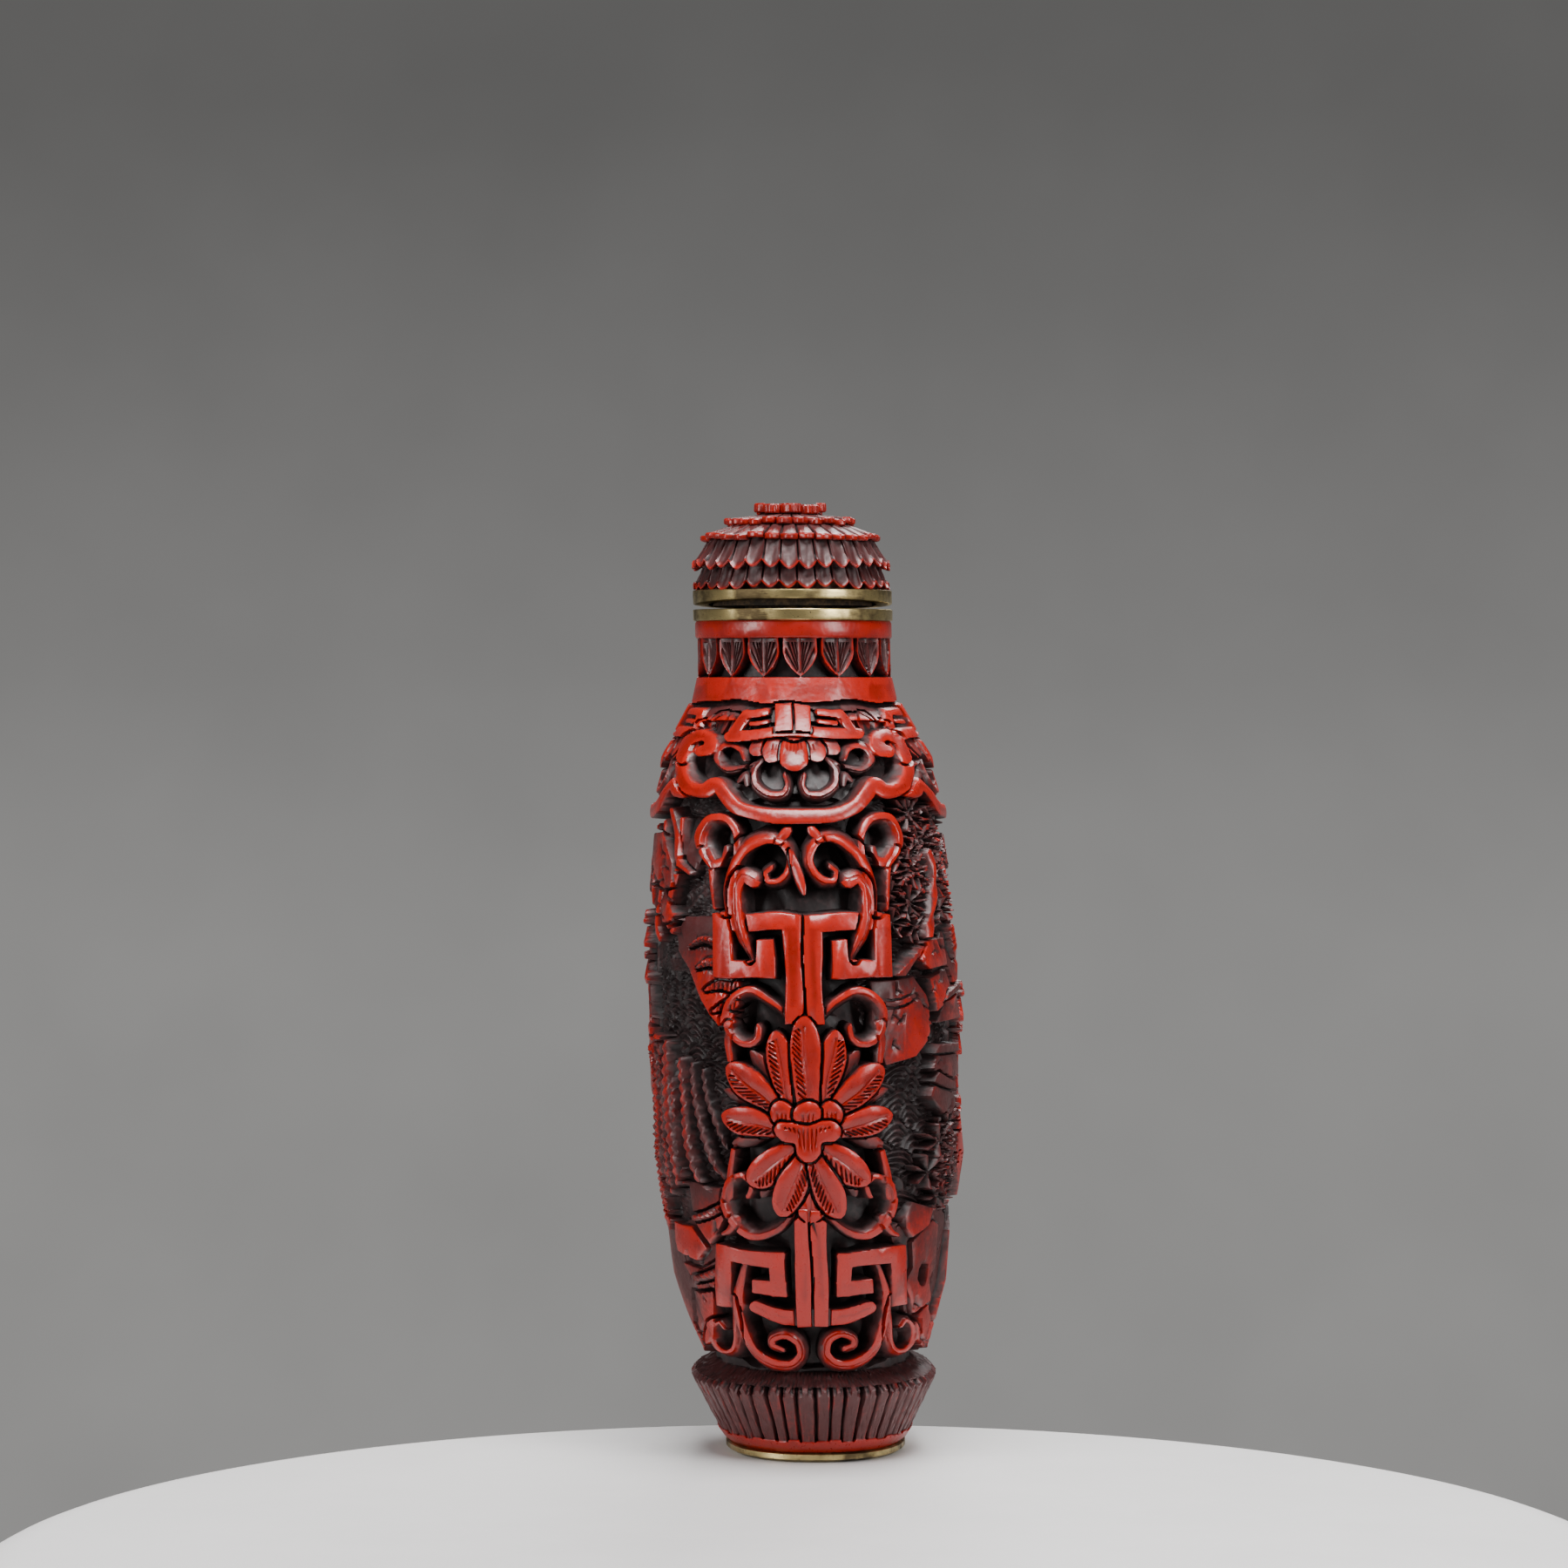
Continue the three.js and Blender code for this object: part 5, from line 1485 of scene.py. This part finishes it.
def disc(angles, count, seed, radius, low_z, high_z, inner, scallop, slope_rows=8):
    """Rows of a spreading ring of petals: edge, then the sloping upper faces inwards."""
    place, lift, swell = petal_ring(angles, count, seed, 0.06)
    inner_radius, inner_z = inner
    edge = radius - scallop * np.abs(place) ** 2 + 0.14 * swell
    rise = 0.14 * lift
    gap = np.exp(-(((1 - np.abs(place)) / 0.14) ** 2))
    clean = 0 * angles + 0.12
    # the row under the edge is darkened as painted shade
    rows = [(edge - 0.8, low_z + 0.15 + rise, clean + 1.2), (edge - 0.12, low_z + rise, clean + 0.3)]
    rows += [(edge, low_z + 0.12 + rise, clean), (edge, high_z - 0.12 + rise, clean)]
    rows += [(edge - 0.12, high_z + rise, clean)]
    for t in np.linspace(0.1, 1, slope_rows):
        r = edge - 0.12 + (inner_radius - edge + 0.12) * t
        z = high_z + rise * (1 - t) + (inner_z - high_z) * t - 0.1 * (1 - place**2) * (1 - t)
        # upper faces darken inwards, and the gaps between petals get painted shade
        rows.append((r, z - 0.3 * gap * (1 - 0.5 * t), 0.3 + 0.6 * t + 1.3 * gap))
    return rows


def cap_sheet():
    """Radius, height and darkening of the cap's rows, from its underside to its crowning flower; the
    darkening holds duller faces and painted shade in gaps and under edges.
    """
    angles = np.linspace(0, 2 * math.pi, CAP_COLUMNS, endpoint=False)
    base = CAP_LOW.z - 0.1
    flat = np.ones(CAP_COLUMNS)
    rows = [(6.2 * flat, base * flat, flat), (7.4 * flat, base * flat, flat)]
    rows += skirt(angles, 33, 101, (8.5, base + 0.02), (7.85, 76.3), 0.6)
    rows += skirt(angles, 34, 102, (8.6, 76.2), (7.3, 78.75), 0.65)
    rows += disc(angles, 31, 103, 7.85, 78.75, 79.25, (5.3, 80.0), 0.5)
    rows += disc(angles, 24, 104, 5.7, 80.05, 80.6, (2.7, 80.95), 0.5)
    rows += disc(angles, 9, 105, 3.15, 81.05, 81.85, (1.0, 81.7), 0.5, 6)
    radius, z, soil = (np.array([row[k] for row in rows]) for k in range(3))
    z = np.minimum(z, CAP_HIGH.z)
    radius = radius + 0.05 * ripple(angles[None, :] * 8, z, 1.0, 106)
    return angles, radius, z, soil


# ---- brass ----
def ring_of(profile, angles, lift=None):
    """Closed ring through profile points (radius, z), as rows of x, y, z."""
    profile = np.asarray(profile, float)
    x = profile[:, 0:1] * np.cos(angles)
    y = profile[:, 0:1] * np.sin(angles)
    z = np.repeat(profile[:, 1:2], len(angles), axis=1)
    if lift is not None:
        z = z + lift(profile[:, 1:2], angles)
    wear = 0.02 * ripple(angles[None, :] * 9, z * 2, 3.0, 201)
    return x * (1 + wear / 8), y * (1 + wear / 8), z


def loop_mesh(name, x, y, z):
    """Mesh of rings that close on themselves both ways round."""
    rows, columns = x.shape
    points = leaning(np.stack([x.ravel(), y.ravel(), z.ravel()], axis=1))
    index = np.arange(rows * columns).reshape(rows, columns)
    above, beside = np.roll(index, -1, axis=0), np.roll(index, -1, axis=1)
    corner = np.roll(above, -1, axis=1)
    quads = np.stack([index, beside, corner, above], axis=-1).reshape(-1, 4)
    mesh = bpy.data.meshes.new(name)
    mesh.from_pydata(points.tolist(), [], quads.tolist())
    layer = mesh.uv_layers.new(name="OFBake")
    u, v = np.meshgrid(np.arange(columns) / columns, np.arange(rows) / rows)
    step_u, step_v = 1 / columns, 1 / rows
    corners = [(u, v), (u + step_u, v), (u + step_u, v + step_v), (u, v + step_v)]
    loops = np.stack([np.stack(c, axis=-1) for c in corners], axis=2).reshape(-1, 2)
    layer.uv.foreach_set("vector", loops.astype(np.float32).ravel())
    return mesh


def bevelled(inner, outer, low, high, bevel=0.12):
    """Profile of a flat ring with rounded outer corners, counter-clockwise from its inner lower corner."""
    turns = (0.0, 0.5, 1.1, 1.57)
    corner = [(outer - bevel + bevel * math.sin(t), low + bevel - bevel * math.cos(t)) for t in turns]
    upper = [(outer - bevel + bevel * math.cos(t), high - bevel + bevel * math.sin(t)) for t in turns]
    side = [(outer, low + (high - low) * t) for t in (0.35, 0.65)]
    middle = (inner + outer) / 2
    return [(inner, low), (middle, low), *corner, *side, *upper, (middle, high), (inner, high)]


# ---- finishes ----
class Finish:
    """A material under construction: each call adds a node and returns its main output."""

    def __init__(self, name):
        self.material = bpy.data.materials.new(name)
        self.material.use_nodes = True
        self.nodes = self.material.node_tree.nodes
        self.links = self.material.node_tree.links
        self.shader = self.nodes["Principled BSDF"]
        self.place = self.nodes.new("ShaderNodeTexCoord").outputs["Object"]

    def put(self, value, socket):
        """Links or sets an input. A colour gets its fourth channel."""
        if isinstance(value, bpy.types.NodeSocket):
            self.links.new(value, socket)
        elif isinstance(value, (tuple, list)) and len(value) == 3:
            socket.default_value = (*value, 1.0)
        else:
            socket.default_value = value

    def attribute(self, label):
        """Value stored on the mesh."""
        node = self.nodes.new("ShaderNodeAttribute")
        node.attribute_name = label
        return node.outputs["Fac"]

    def math(self, operation, *values):
        """Arithmetic on sockets and numbers."""
        node = self.nodes.new("ShaderNodeMath")
        node.operation = operation
        for value, socket in zip(values, node.inputs):
            self.put(value, socket)
        return node.outputs[0]

    def ramp(self, value, low, high):
        """0 at low, 1 at high, smooth between. low may be the larger."""
        node = self.nodes.new("ShaderNodeMapRange")
        node.interpolation_type = "SMOOTHSTEP"
        self.put(value, node.inputs["Value"])
        node.inputs["From Min"].default_value = low
        node.inputs["From Max"].default_value = high
        return node.outputs["Result"]

    def noise(self, size_mm, detail=4.0, roughness=0.55, stretch=None):
        """Cloudy noise of a size in mm, which may be stretched along an axis."""
        node = self.nodes.new("ShaderNodeTexNoise")
        node.inputs["Scale"].default_value = 1 / (size_mm * MM)
        node.inputs["Detail"].default_value = detail
        node.inputs["Roughness"].default_value = roughness
        place = self.place
        if stretch:
            mapping = self.nodes.new("ShaderNodeMapping")
            mapping.inputs["Scale"].default_value = stretch
            self.links.new(place, mapping.inputs["Vector"])
            place = mapping.outputs["Vector"]
        self.links.new(place, node.inputs["Vector"])
        return node.outputs["Fac"]

    def mix(self, share, first, second):
        """Colour between two colours."""
        node = self.nodes.new("ShaderNodeMix")
        node.data_type = "RGBA"
        self.put(share, node.inputs["Factor"])
        self.put(first, node.inputs[6])
        self.put(second, node.inputs[7])
        return node.outputs[2]

    def blend(self, share, first, second):
        """Number between two numbers."""
        node = self.nodes.new("ShaderNodeMix")
        self.put(share, node.inputs[0])
        self.put(first, node.inputs[2])
        self.put(second, node.inputs[3])
        return node.outputs[0]

    def bump(self, height, distance_mm, strength=1.0, under=None):
        """Normal roughened by a height."""
        node = self.nodes.new("ShaderNodeBump")
        node.inputs["Strength"].default_value = strength
        node.inputs["Distance"].default_value = distance_mm * MM
        self.links.new(height, node.inputs["Height"])
        if under is not None:
            self.links.new(under, node.inputs["Normal"])
        return node.outputs["Normal"]

    def finish(self, colour, roughness, normal, **constants):
        """Joins the results to the shader and sets its constants."""
        self.links.new(colour, self.shader.inputs["Base Color"])
        self.links.new(roughness, self.shader.inputs["Roughness"])
        self.links.new(normal, self.shader.inputs["Normal"])
        for label, value in constants.items():
            self.shader.inputs[label.replace("_", " ")].default_value = value
        return self.material


def lacquer_finish(name, colours):
    """Carved lacquer: polished red tops with brighter ridges as painted highlight, walls and deep ground
    darkened as painted shade, and dried wax in the recesses.
    """
    made = Finish(name)
    depth, hollow = made.attribute("depth"), made.attribute("hollow")
    broad = made.noise(2.2, 3.0)
    fine = made.noise(0.35, 4.0)
    specks = made.noise(0.16, 3.0, 0.6)
    uneven = made.math("MULTIPLY_ADD", made.math("SUBTRACT", fine, 0.5), 0.55, depth)
    uneven = made.math("MULTIPLY_ADD", made.math("SUBTRACT", broad, 0.5), 0.6, uneven)

    lacquer = tuple(colours.lacquer)
    slope, recess_shade, residue = tuple(colours.slope), tuple(colours.recess_shade), tuple(colours.residue)
    red = made.mix(made.ramp(broad, 0.35, 0.7), lacquer, tuple(c * 0.75 for c in lacquer))
    # painted highlight: ridges that stand above their neighbours are a brighter red, partly for worn edges
    red = made.mix(made.ramp(hollow, -0.02, -0.2), red, tuple(c * 1.25 for c in lacquer))
    stain = made.math("MULTIPLY", made.ramp(specks, 0.58, 0.74), made.ramp(fine, 0.42, 0.62))
    red = made.mix(made.math("MULTIPLY", stain, 0.45), red, slope)
    # painted shade by depth: deeper and steeper surfaces darken to the dull red of the walls; the depth also
    # carries some dirt
    colour = made.mix(made.ramp(uneven, 0.12, 0.75), red, slope)
    # painted shade: the deepest surfaces, and cavities lower than their surroundings, turn near black
    colour = made.mix(made.ramp(uneven, 0.8, 1.6), colour, recess_shade)
    colour = made.mix(made.ramp(hollow, 0.03, 0.2), colour, recess_shade)
    waxed = made.math(
        "MULTIPLY", made.ramp(made.noise(0.9, 5.0, 0.65), 0.48, 0.68), made.ramp(uneven, 0.3, 1.0)
    )
    colour = made.mix(made.math("MULTIPLY", waxed, 0.3), colour, residue)

    roughness = made.blend(made.ramp(uneven, 0.1, 1.2), 0.3, 0.55)
    roughness = made.math("MULTIPLY_ADD", made.math("SUBTRACT", fine, 0.5), 0.2, roughness)
    normal = made.bump(fine, 0.02, 0.6)
    normal = made.bump(made.noise(1.4, 2.0), 0.1, 0.5, normal)
    return made.finish(colour, roughness, normal, Specular_IOR_Level=0.45)


def brass_finish(name, colours):
    """Rubbed brass, browned in cloudy patches and pits."""
    made = Finish(name)
    cloud = made.noise(3.5, 4.0)
    brushed = made.noise(0.5, 4.0, 0.6, (1.0, 1.0, 9.0))
    pits = made.noise(0.22, 2.0)
    tarnished = made.math("MAXIMUM", made.ramp(cloud, 0.42, 0.66), made.ramp(pits, 0.62, 0.74))
    tarnished = made.math("MULTIPLY_ADD", made.math("SUBTRACT", brushed, 0.5), 0.6, tarnished)
    colour = made.mix(tarnished, tuple(colours.brass), tuple(colours.tarnish))
    roughness = made.blend(tarnished, 0.28, 0.55)
    normal = made.bump(brushed, 0.03, 0.5)
    return made.finish(colour, roughness, normal, Metallic=1.0)


def cork_finish(name):
    """Cork of the stem, brown and pitted."""
    made = Finish(name)
    pits = made.noise(0.7, 5.0, 0.7)
    colour = made.mix(made.ramp(pits, 0.4, 0.62), (0.02, 0.013, 0.008), (0.10, 0.06, 0.03))
    roughness = made.blend(pits, 0.75, 0.9)
    return made.finish(colour, roughness, made.bump(pits, 0.2, 0.8))


def stand_finish(name, colour):
    """Frosted plate, faintly speckled."""
    made = Finish(name)
    cloud = made.noise(14.0, 4.0)
    dust = made.noise(0.35, 2.0)
    tone = made.mix(made.ramp(cloud, 0.3, 0.75), tuple(colour), tuple(c * 0.94 for c in colour))
    tone = made.mix(made.ramp(dust, 0.7, 0.8), tone, (0.8, 0.8, 0.8))
    roughness = made.blend(cloud, 0.42, 0.6)
    return made.finish(tone, roughness, made.bump(dust, 0.02, 0.4))


# ---- operators ----
class BOTTLE_OT_body(bpy.types.Operator):
    """Carve the lacquer body"""

    bl_idname = "bottle.body"
    bl_label = "Carved body"

    def execute(self, context):
        settings = context.scene.bottle_carving
        cell = settings.cell / MM * 1.0
        share, x, y, z, cut, soil, angles = carve_body(cell, settings.unevenness)
        # how far each point lies below its surroundings; the finish paints shade into hollows and highlights
        # onto ridges
        hollow = spread(cut, round(0.35 / cell), round(0.3 / cell)) - cut
        inner_x, inner_y, inner_z = hollow_rows(angles)
        x, y, z = np.vstack([x, inner_x]), np.vstack([y, inner_y]), np.vstack([z, inner_z])
        blank = np.zeros(inner_x.shape)
        # painted shade: the bottle's inside and its bottom get a large depth, so they are coloured near black
        depth = np.vstack([np.maximum(-cut, 0) + soil, blank + 1.4])
        hollow = np.vstack([hollow, blank])
        v = np.linspace(0.02, 0.98, len(z))
        u = np.concatenate([share, [1.0]])
        ends = [(0, 0, FOOT_BOTTOM), (0, 0, HOLLOW[0][0])]
        mesh = sheet_mesh(
            "body", x, y, z, ends, (u, v), {"depth": (depth, (0.5, 1.4)), "hollow": (hollow, (0, 0))}
        )
        mesh = reduced(mesh, settings.faces)
        finish_mesh(mesh)
        finish = lacquer_finish("carved lacquer", context.scene.bottle_finish)
        add_piece("carved_body", mesh, finish, "lacquer", "bottle_body")
        return {"FINISHED"}


class BOTTLE_OT_cap(bpy.types.Operator):
    """Carve the stopper's cap of overlapping petals"""

    bl_idname = "bottle.cap"
    bl_label = "Petalled cap"

    def execute(self, context):
        angles, radius, z, soil = cap_sheet()
        x, y = radius * np.cos(angles), radius * np.sin(angles)
        # dips between petals and ridges that stand out, which the finish paints with shade and highlight
        hollow = spread(radius, 1, 5) - radius
        rows = len(z)
        ends = [(0, 0, z[0].mean()), (0, 0, z[-1].mean() - 0.1)]
        u = np.linspace(0, 1, CAP_COLUMNS + 1)
        v = np.linspace(0.03, 0.97, rows)
        mesh = sheet_mesh(
            "cap", x, y, z, ends, (u, v), {"depth": (soil, (1, 0.8)), "hollow": (hollow, (0, 0))}
        )
        finish_mesh(mesh)
        finish = lacquer_finish("worn lacquer with painted shade", context.scene.bottle_finish)
        add_piece("petalled_cap", mesh, finish, "lacquer", "stopper_cap")
        return {"FINISHED"}


class BOTTLE_OT_fittings(bpy.types.Operator):
    """Make the brass neck rim, stopper collar and foot plate, and finish the stem"""

    bl_idname = "bottle.fittings"
    bl_label = "Brass fittings"

    def execute(self, context):
        colours = context.scene.bottle_finish
        brass = brass_finish("tarnished brass", colours)
        angles = np.linspace(0, 2 * math.pi, 256, endpoint=False)
        rim = ring_of(bevelled(BORE_RADIUS, 8.65, RIM_LOW.z, RIM_HIGH.z), angles)
        collar_low, collar_top = RIM_HIGH.z + 0.1, CAP_LOW.z - 0.08

        def lifted(z, turns):
            gap = 0.75 * (0.5 - 0.5 * np.sin(turns)) ** 1.2
            return gap * (collar_top - z) / (collar_top - collar_low)

        collar = ring_of(bevelled(7.3, 8.62, collar_low, collar_top, 0.14), angles, lift=lifted)
        for name, rings, node in (("neck_ring", rim, "neck_rim"), ("cap_ring", collar, "stopper_collar")):
            mesh = loop_mesh(name, *rings)
            finish_mesh(mesh, 30)
            add_piece(name, mesh, brass, "brass", node)

        half_x, half_y = (PLATE_HIGH.x - PLATE_LOW.x) / 2, (PLATE_HIGH.y - PLATE_LOW.y) / 2
        outline_x, outline_y = unit_oval(angles, SQUARENESS)
        rows = (
            (0.55, 0.0), (0.93, 0.0), (0.955, 0.08), (1.0, 0.3), (1.0, 0.72), (0.97, 0.86), (0.9, 0.9),
            (0.5, 0.9),
        )
        rows = np.array([(share, height * FOOT_BOTTOM / 0.9) for share, height in rows])
        x = rows[:, :1] * half_x * outline_x
        y = rows[:, :1] * half_y * outline_y
        z = np.repeat(rows[:, 1:], len(angles), axis=1)
        ends = [(0, 0, 0), (0, 0, FOOT_BOTTOM)]
        u = np.linspace(0, 1, len(angles) + 1)
        mesh = sheet_mesh("plate", x, y, z, ends, (u, np.linspace(0.05, 0.95, len(rows))), {})
        finish_mesh(mesh, 30)
        add_piece("foot_oval", mesh, brass, "brass", "foot_plate")

        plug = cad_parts["stopper_plug"]
        plug.data.materials.clear()
        plug.data.materials.append(cork_finish("dark cork"))
        return {"FINISHED"}


class BOTTLE_OT_stage(bpy.types.Operator):
    """Set the pale stand, the soft light and the camera"""

    bl_idname = "bottle.stage"
    bl_label = "Stand, light and camera"

    def execute(self, context):
        settings = context.scene.bottle_stage
        self.stand(settings)
        self.light(context.scene)
        self.camera(context.scene, settings)
        return {"FINISHED"}

    def stand(self, settings):
        angles = np.linspace(0, 2 * math.pi, 192, endpoint=False)
        radius = settings.stand_radius
        bend = 0.007
        turns = np.linspace(0, math.pi / 2, 12)
        edge = [(radius - bend + bend * math.cos(t), bend * (math.sin(t) - 1)) for t in turns]
        rows = [(radius * 0.5, -0.02), (radius * 0.9, -0.02), (radius, -0.019), *edge, (radius * 0.5, 0)]
        centre = settings.stand_rear - radius
        points = [(r * math.cos(t), r * math.sin(t) + centre, z) for r, z in rows for t in angles]
        count = len(angles)
        faces = []
        for k in range(len(rows) - 1):
            for i in range(count):
                j = (i + 1) % count
                faces.append((k * count + i, k * count + j, (k + 1) * count + j, (k + 1) * count + i))
        faces.append(tuple(range(count - 1, -1, -1)))
        faces.append(tuple((len(rows) - 1) * count + i for i in range(count)))
        mesh = bpy.data.meshes.new("stand")
        mesh.from_pydata(points, [], faces)
        mesh.shade_smooth()
        mesh.set_sharp_from_angle(angle=math.radians(40))
        mesh.materials.append(stand_finish("frosted stand", settings.stand))
        stand = bpy.data.objects.new("stand", mesh)
        bpy.context.scene.collection.objects.link(stand)

    def light(self, scene):
        lamps = (
            ("left_softbox", (-0.40, -0.30, 0.20), 0.12, 0.36, 2.3),
            ("right_softbox", (0.38, -0.32, 0.22), 0.12, 0.34, 2.3),
            ("top_softbox", (0.03, -0.16, 0.55), 0.26, 0.26, 6.5),
            ("back_softbox", (0.10, 0.42, 0.42), 0.30, 0.20, 2.4),
        )
        middle = np.array([0, 0, 0.045])
        for name, place, width, height, power in lamps:
            data = bpy.data.lights.new(name, "AREA")
            data.shape = "RECTANGLE"
            data.size, data.size_y = width, height
            data.energy = power
            lamp = bpy.data.objects.new(name, data)
            lamp.location = place
            lamp.rotation_euler = direction_angles(middle - np.array(place))
            scene.collection.objects.link(lamp)

        world = scene.world or bpy.data.worlds.new("studio")
        scene.world = world
        world.use_nodes = True
        nodes, links = world.node_tree.nodes, world.node_tree.links
        nodes.clear()
        place = nodes.new("ShaderNodeTexCoord").outputs["Generated"]
        split = nodes.new("ShaderNodeSeparateXYZ")
        links.new(place, split.inputs[0])
        shade = nodes.new("ShaderNodeValToRGB")
        stops = ((0.36, 0.30), (0.47, 0.285), (0.50, 0.22), (0.56, 0.105), (0.75, 0.075))
        ramp = shade.color_ramp
        ramp.interpolation = "B_SPLINE"
        while len(ramp.elements) < len(stops):
            ramp.elements.new(0.5)
        for element, (position, grey) in zip(ramp.elements, stops):
            element.position = position
            element.color = (grey, grey * 0.985, grey * 0.965, 1)
        height = nodes.new("ShaderNodeMath")
        height.operation = "MULTIPLY_ADD"
        height.inputs[1].default_value = 0.5
        height.inputs[2].default_value = 0.5
        links.new(split.outputs["Z"], height.inputs[0])
        links.new(height.outputs[0], shade.inputs[0])
        cloth = nodes.new("ShaderNodeTexNoise")
        cloth.inputs["Scale"].default_value = 22
        cloth.inputs["Detail"].default_value = 3
        links.new(place, cloth.inputs["Vector"])
        mottle = nodes.new("ShaderNodeMapRange")
        mottle.inputs["To Min"].default_value = 0.9
        mottle.inputs["To Max"].default_value = 1.1
        links.new(cloth.outputs["Fac"], mottle.inputs["Value"])
        background = nodes.new("ShaderNodeBackground")
        links.new(shade.outputs["Color"], background.inputs["Color"])
        links.new(mottle.outputs["Result"], background.inputs["Strength"])
        output = nodes.new("ShaderNodeOutputWorld")
        links.new(background.outputs[0], output.inputs["Surface"])

    def camera(self, scene, settings):
        data = bpy.data.cameras.new("camera")
        data.sensor_width = 36
        data.lens = 36 * settings.distance / settings.view_width
        data.clip_start = 0.01
        camera = bpy.data.objects.new("camera", data)
        aside, aim_height = -0.00167, 0.0576
        camera.location = (aside, -settings.distance, settings.eye_height)
        aim = (0, settings.distance, aim_height - settings.eye_height)
        camera.rotation_euler = direction_angles(aim)
        scene.collection.objects.link(camera)
        scene.camera = camera


def direction_angles(aim):
    """Rotation that turns a camera's or lamp's own view direction to aim."""
    return Vector(aim).to_track_quat("-Z", "Y").to_euler()


class BOTTLE_PT_panel(bpy.types.Panel):
    """Lists the bottle's pieces and settings"""

    bl_idname = "BOTTLE_PT_panel"
    bl_label = "Snuff bottle"
    bl_space_type = "VIEW_3D"
    bl_region_type = "UI"
    bl_category = "Snuff bottle"

    def draw(self, context):
        layout = self.layout
        for group in SETTINGS:
            box = layout.box()
            settings = getattr(context.scene, group)
            for name in settings.bl_rna.properties.keys():
                if name not in ("rna_type", "name"):
                    box.prop(settings, name)
        for operator in OPERATORS:
            layout.operator(operator.bl_idname)


SETTINGS = {"bottle_carving": BottleCarving, "bottle_finish": BottleFinish, "bottle_stage": BottleStage}
OPERATORS = (BOTTLE_OT_stage, BOTTLE_OT_fittings, BOTTLE_OT_cap, BOTTLE_OT_body)


def register():
    """Adds the settings, operators and panel to Blender."""
    for name, group in SETTINGS.items():
        bpy.utils.register_class(group)
        setattr(bpy.types.Scene, name, bpy.props.PointerProperty(type=group))
    for operator in (*OPERATORS, BOTTLE_PT_panel):
        bpy.utils.register_class(operator)


def unregister():
    """Takes them out again."""
    for operator in (BOTTLE_PT_panel, *reversed(OPERATORS)):
        bpy.utils.unregister_class(operator)
    for name, group in SETTINGS.items():
        delattr(bpy.types.Scene, name)
        bpy.utils.unregister_class(group)


def main():
    """Builds everything."""
    register()
    bpy.ops.bottle.stage()
    bpy.ops.bottle.fittings()
    bpy.ops.bottle.cap()
    bpy.ops.bottle.body()


if __name__ == "__main__":
    main()
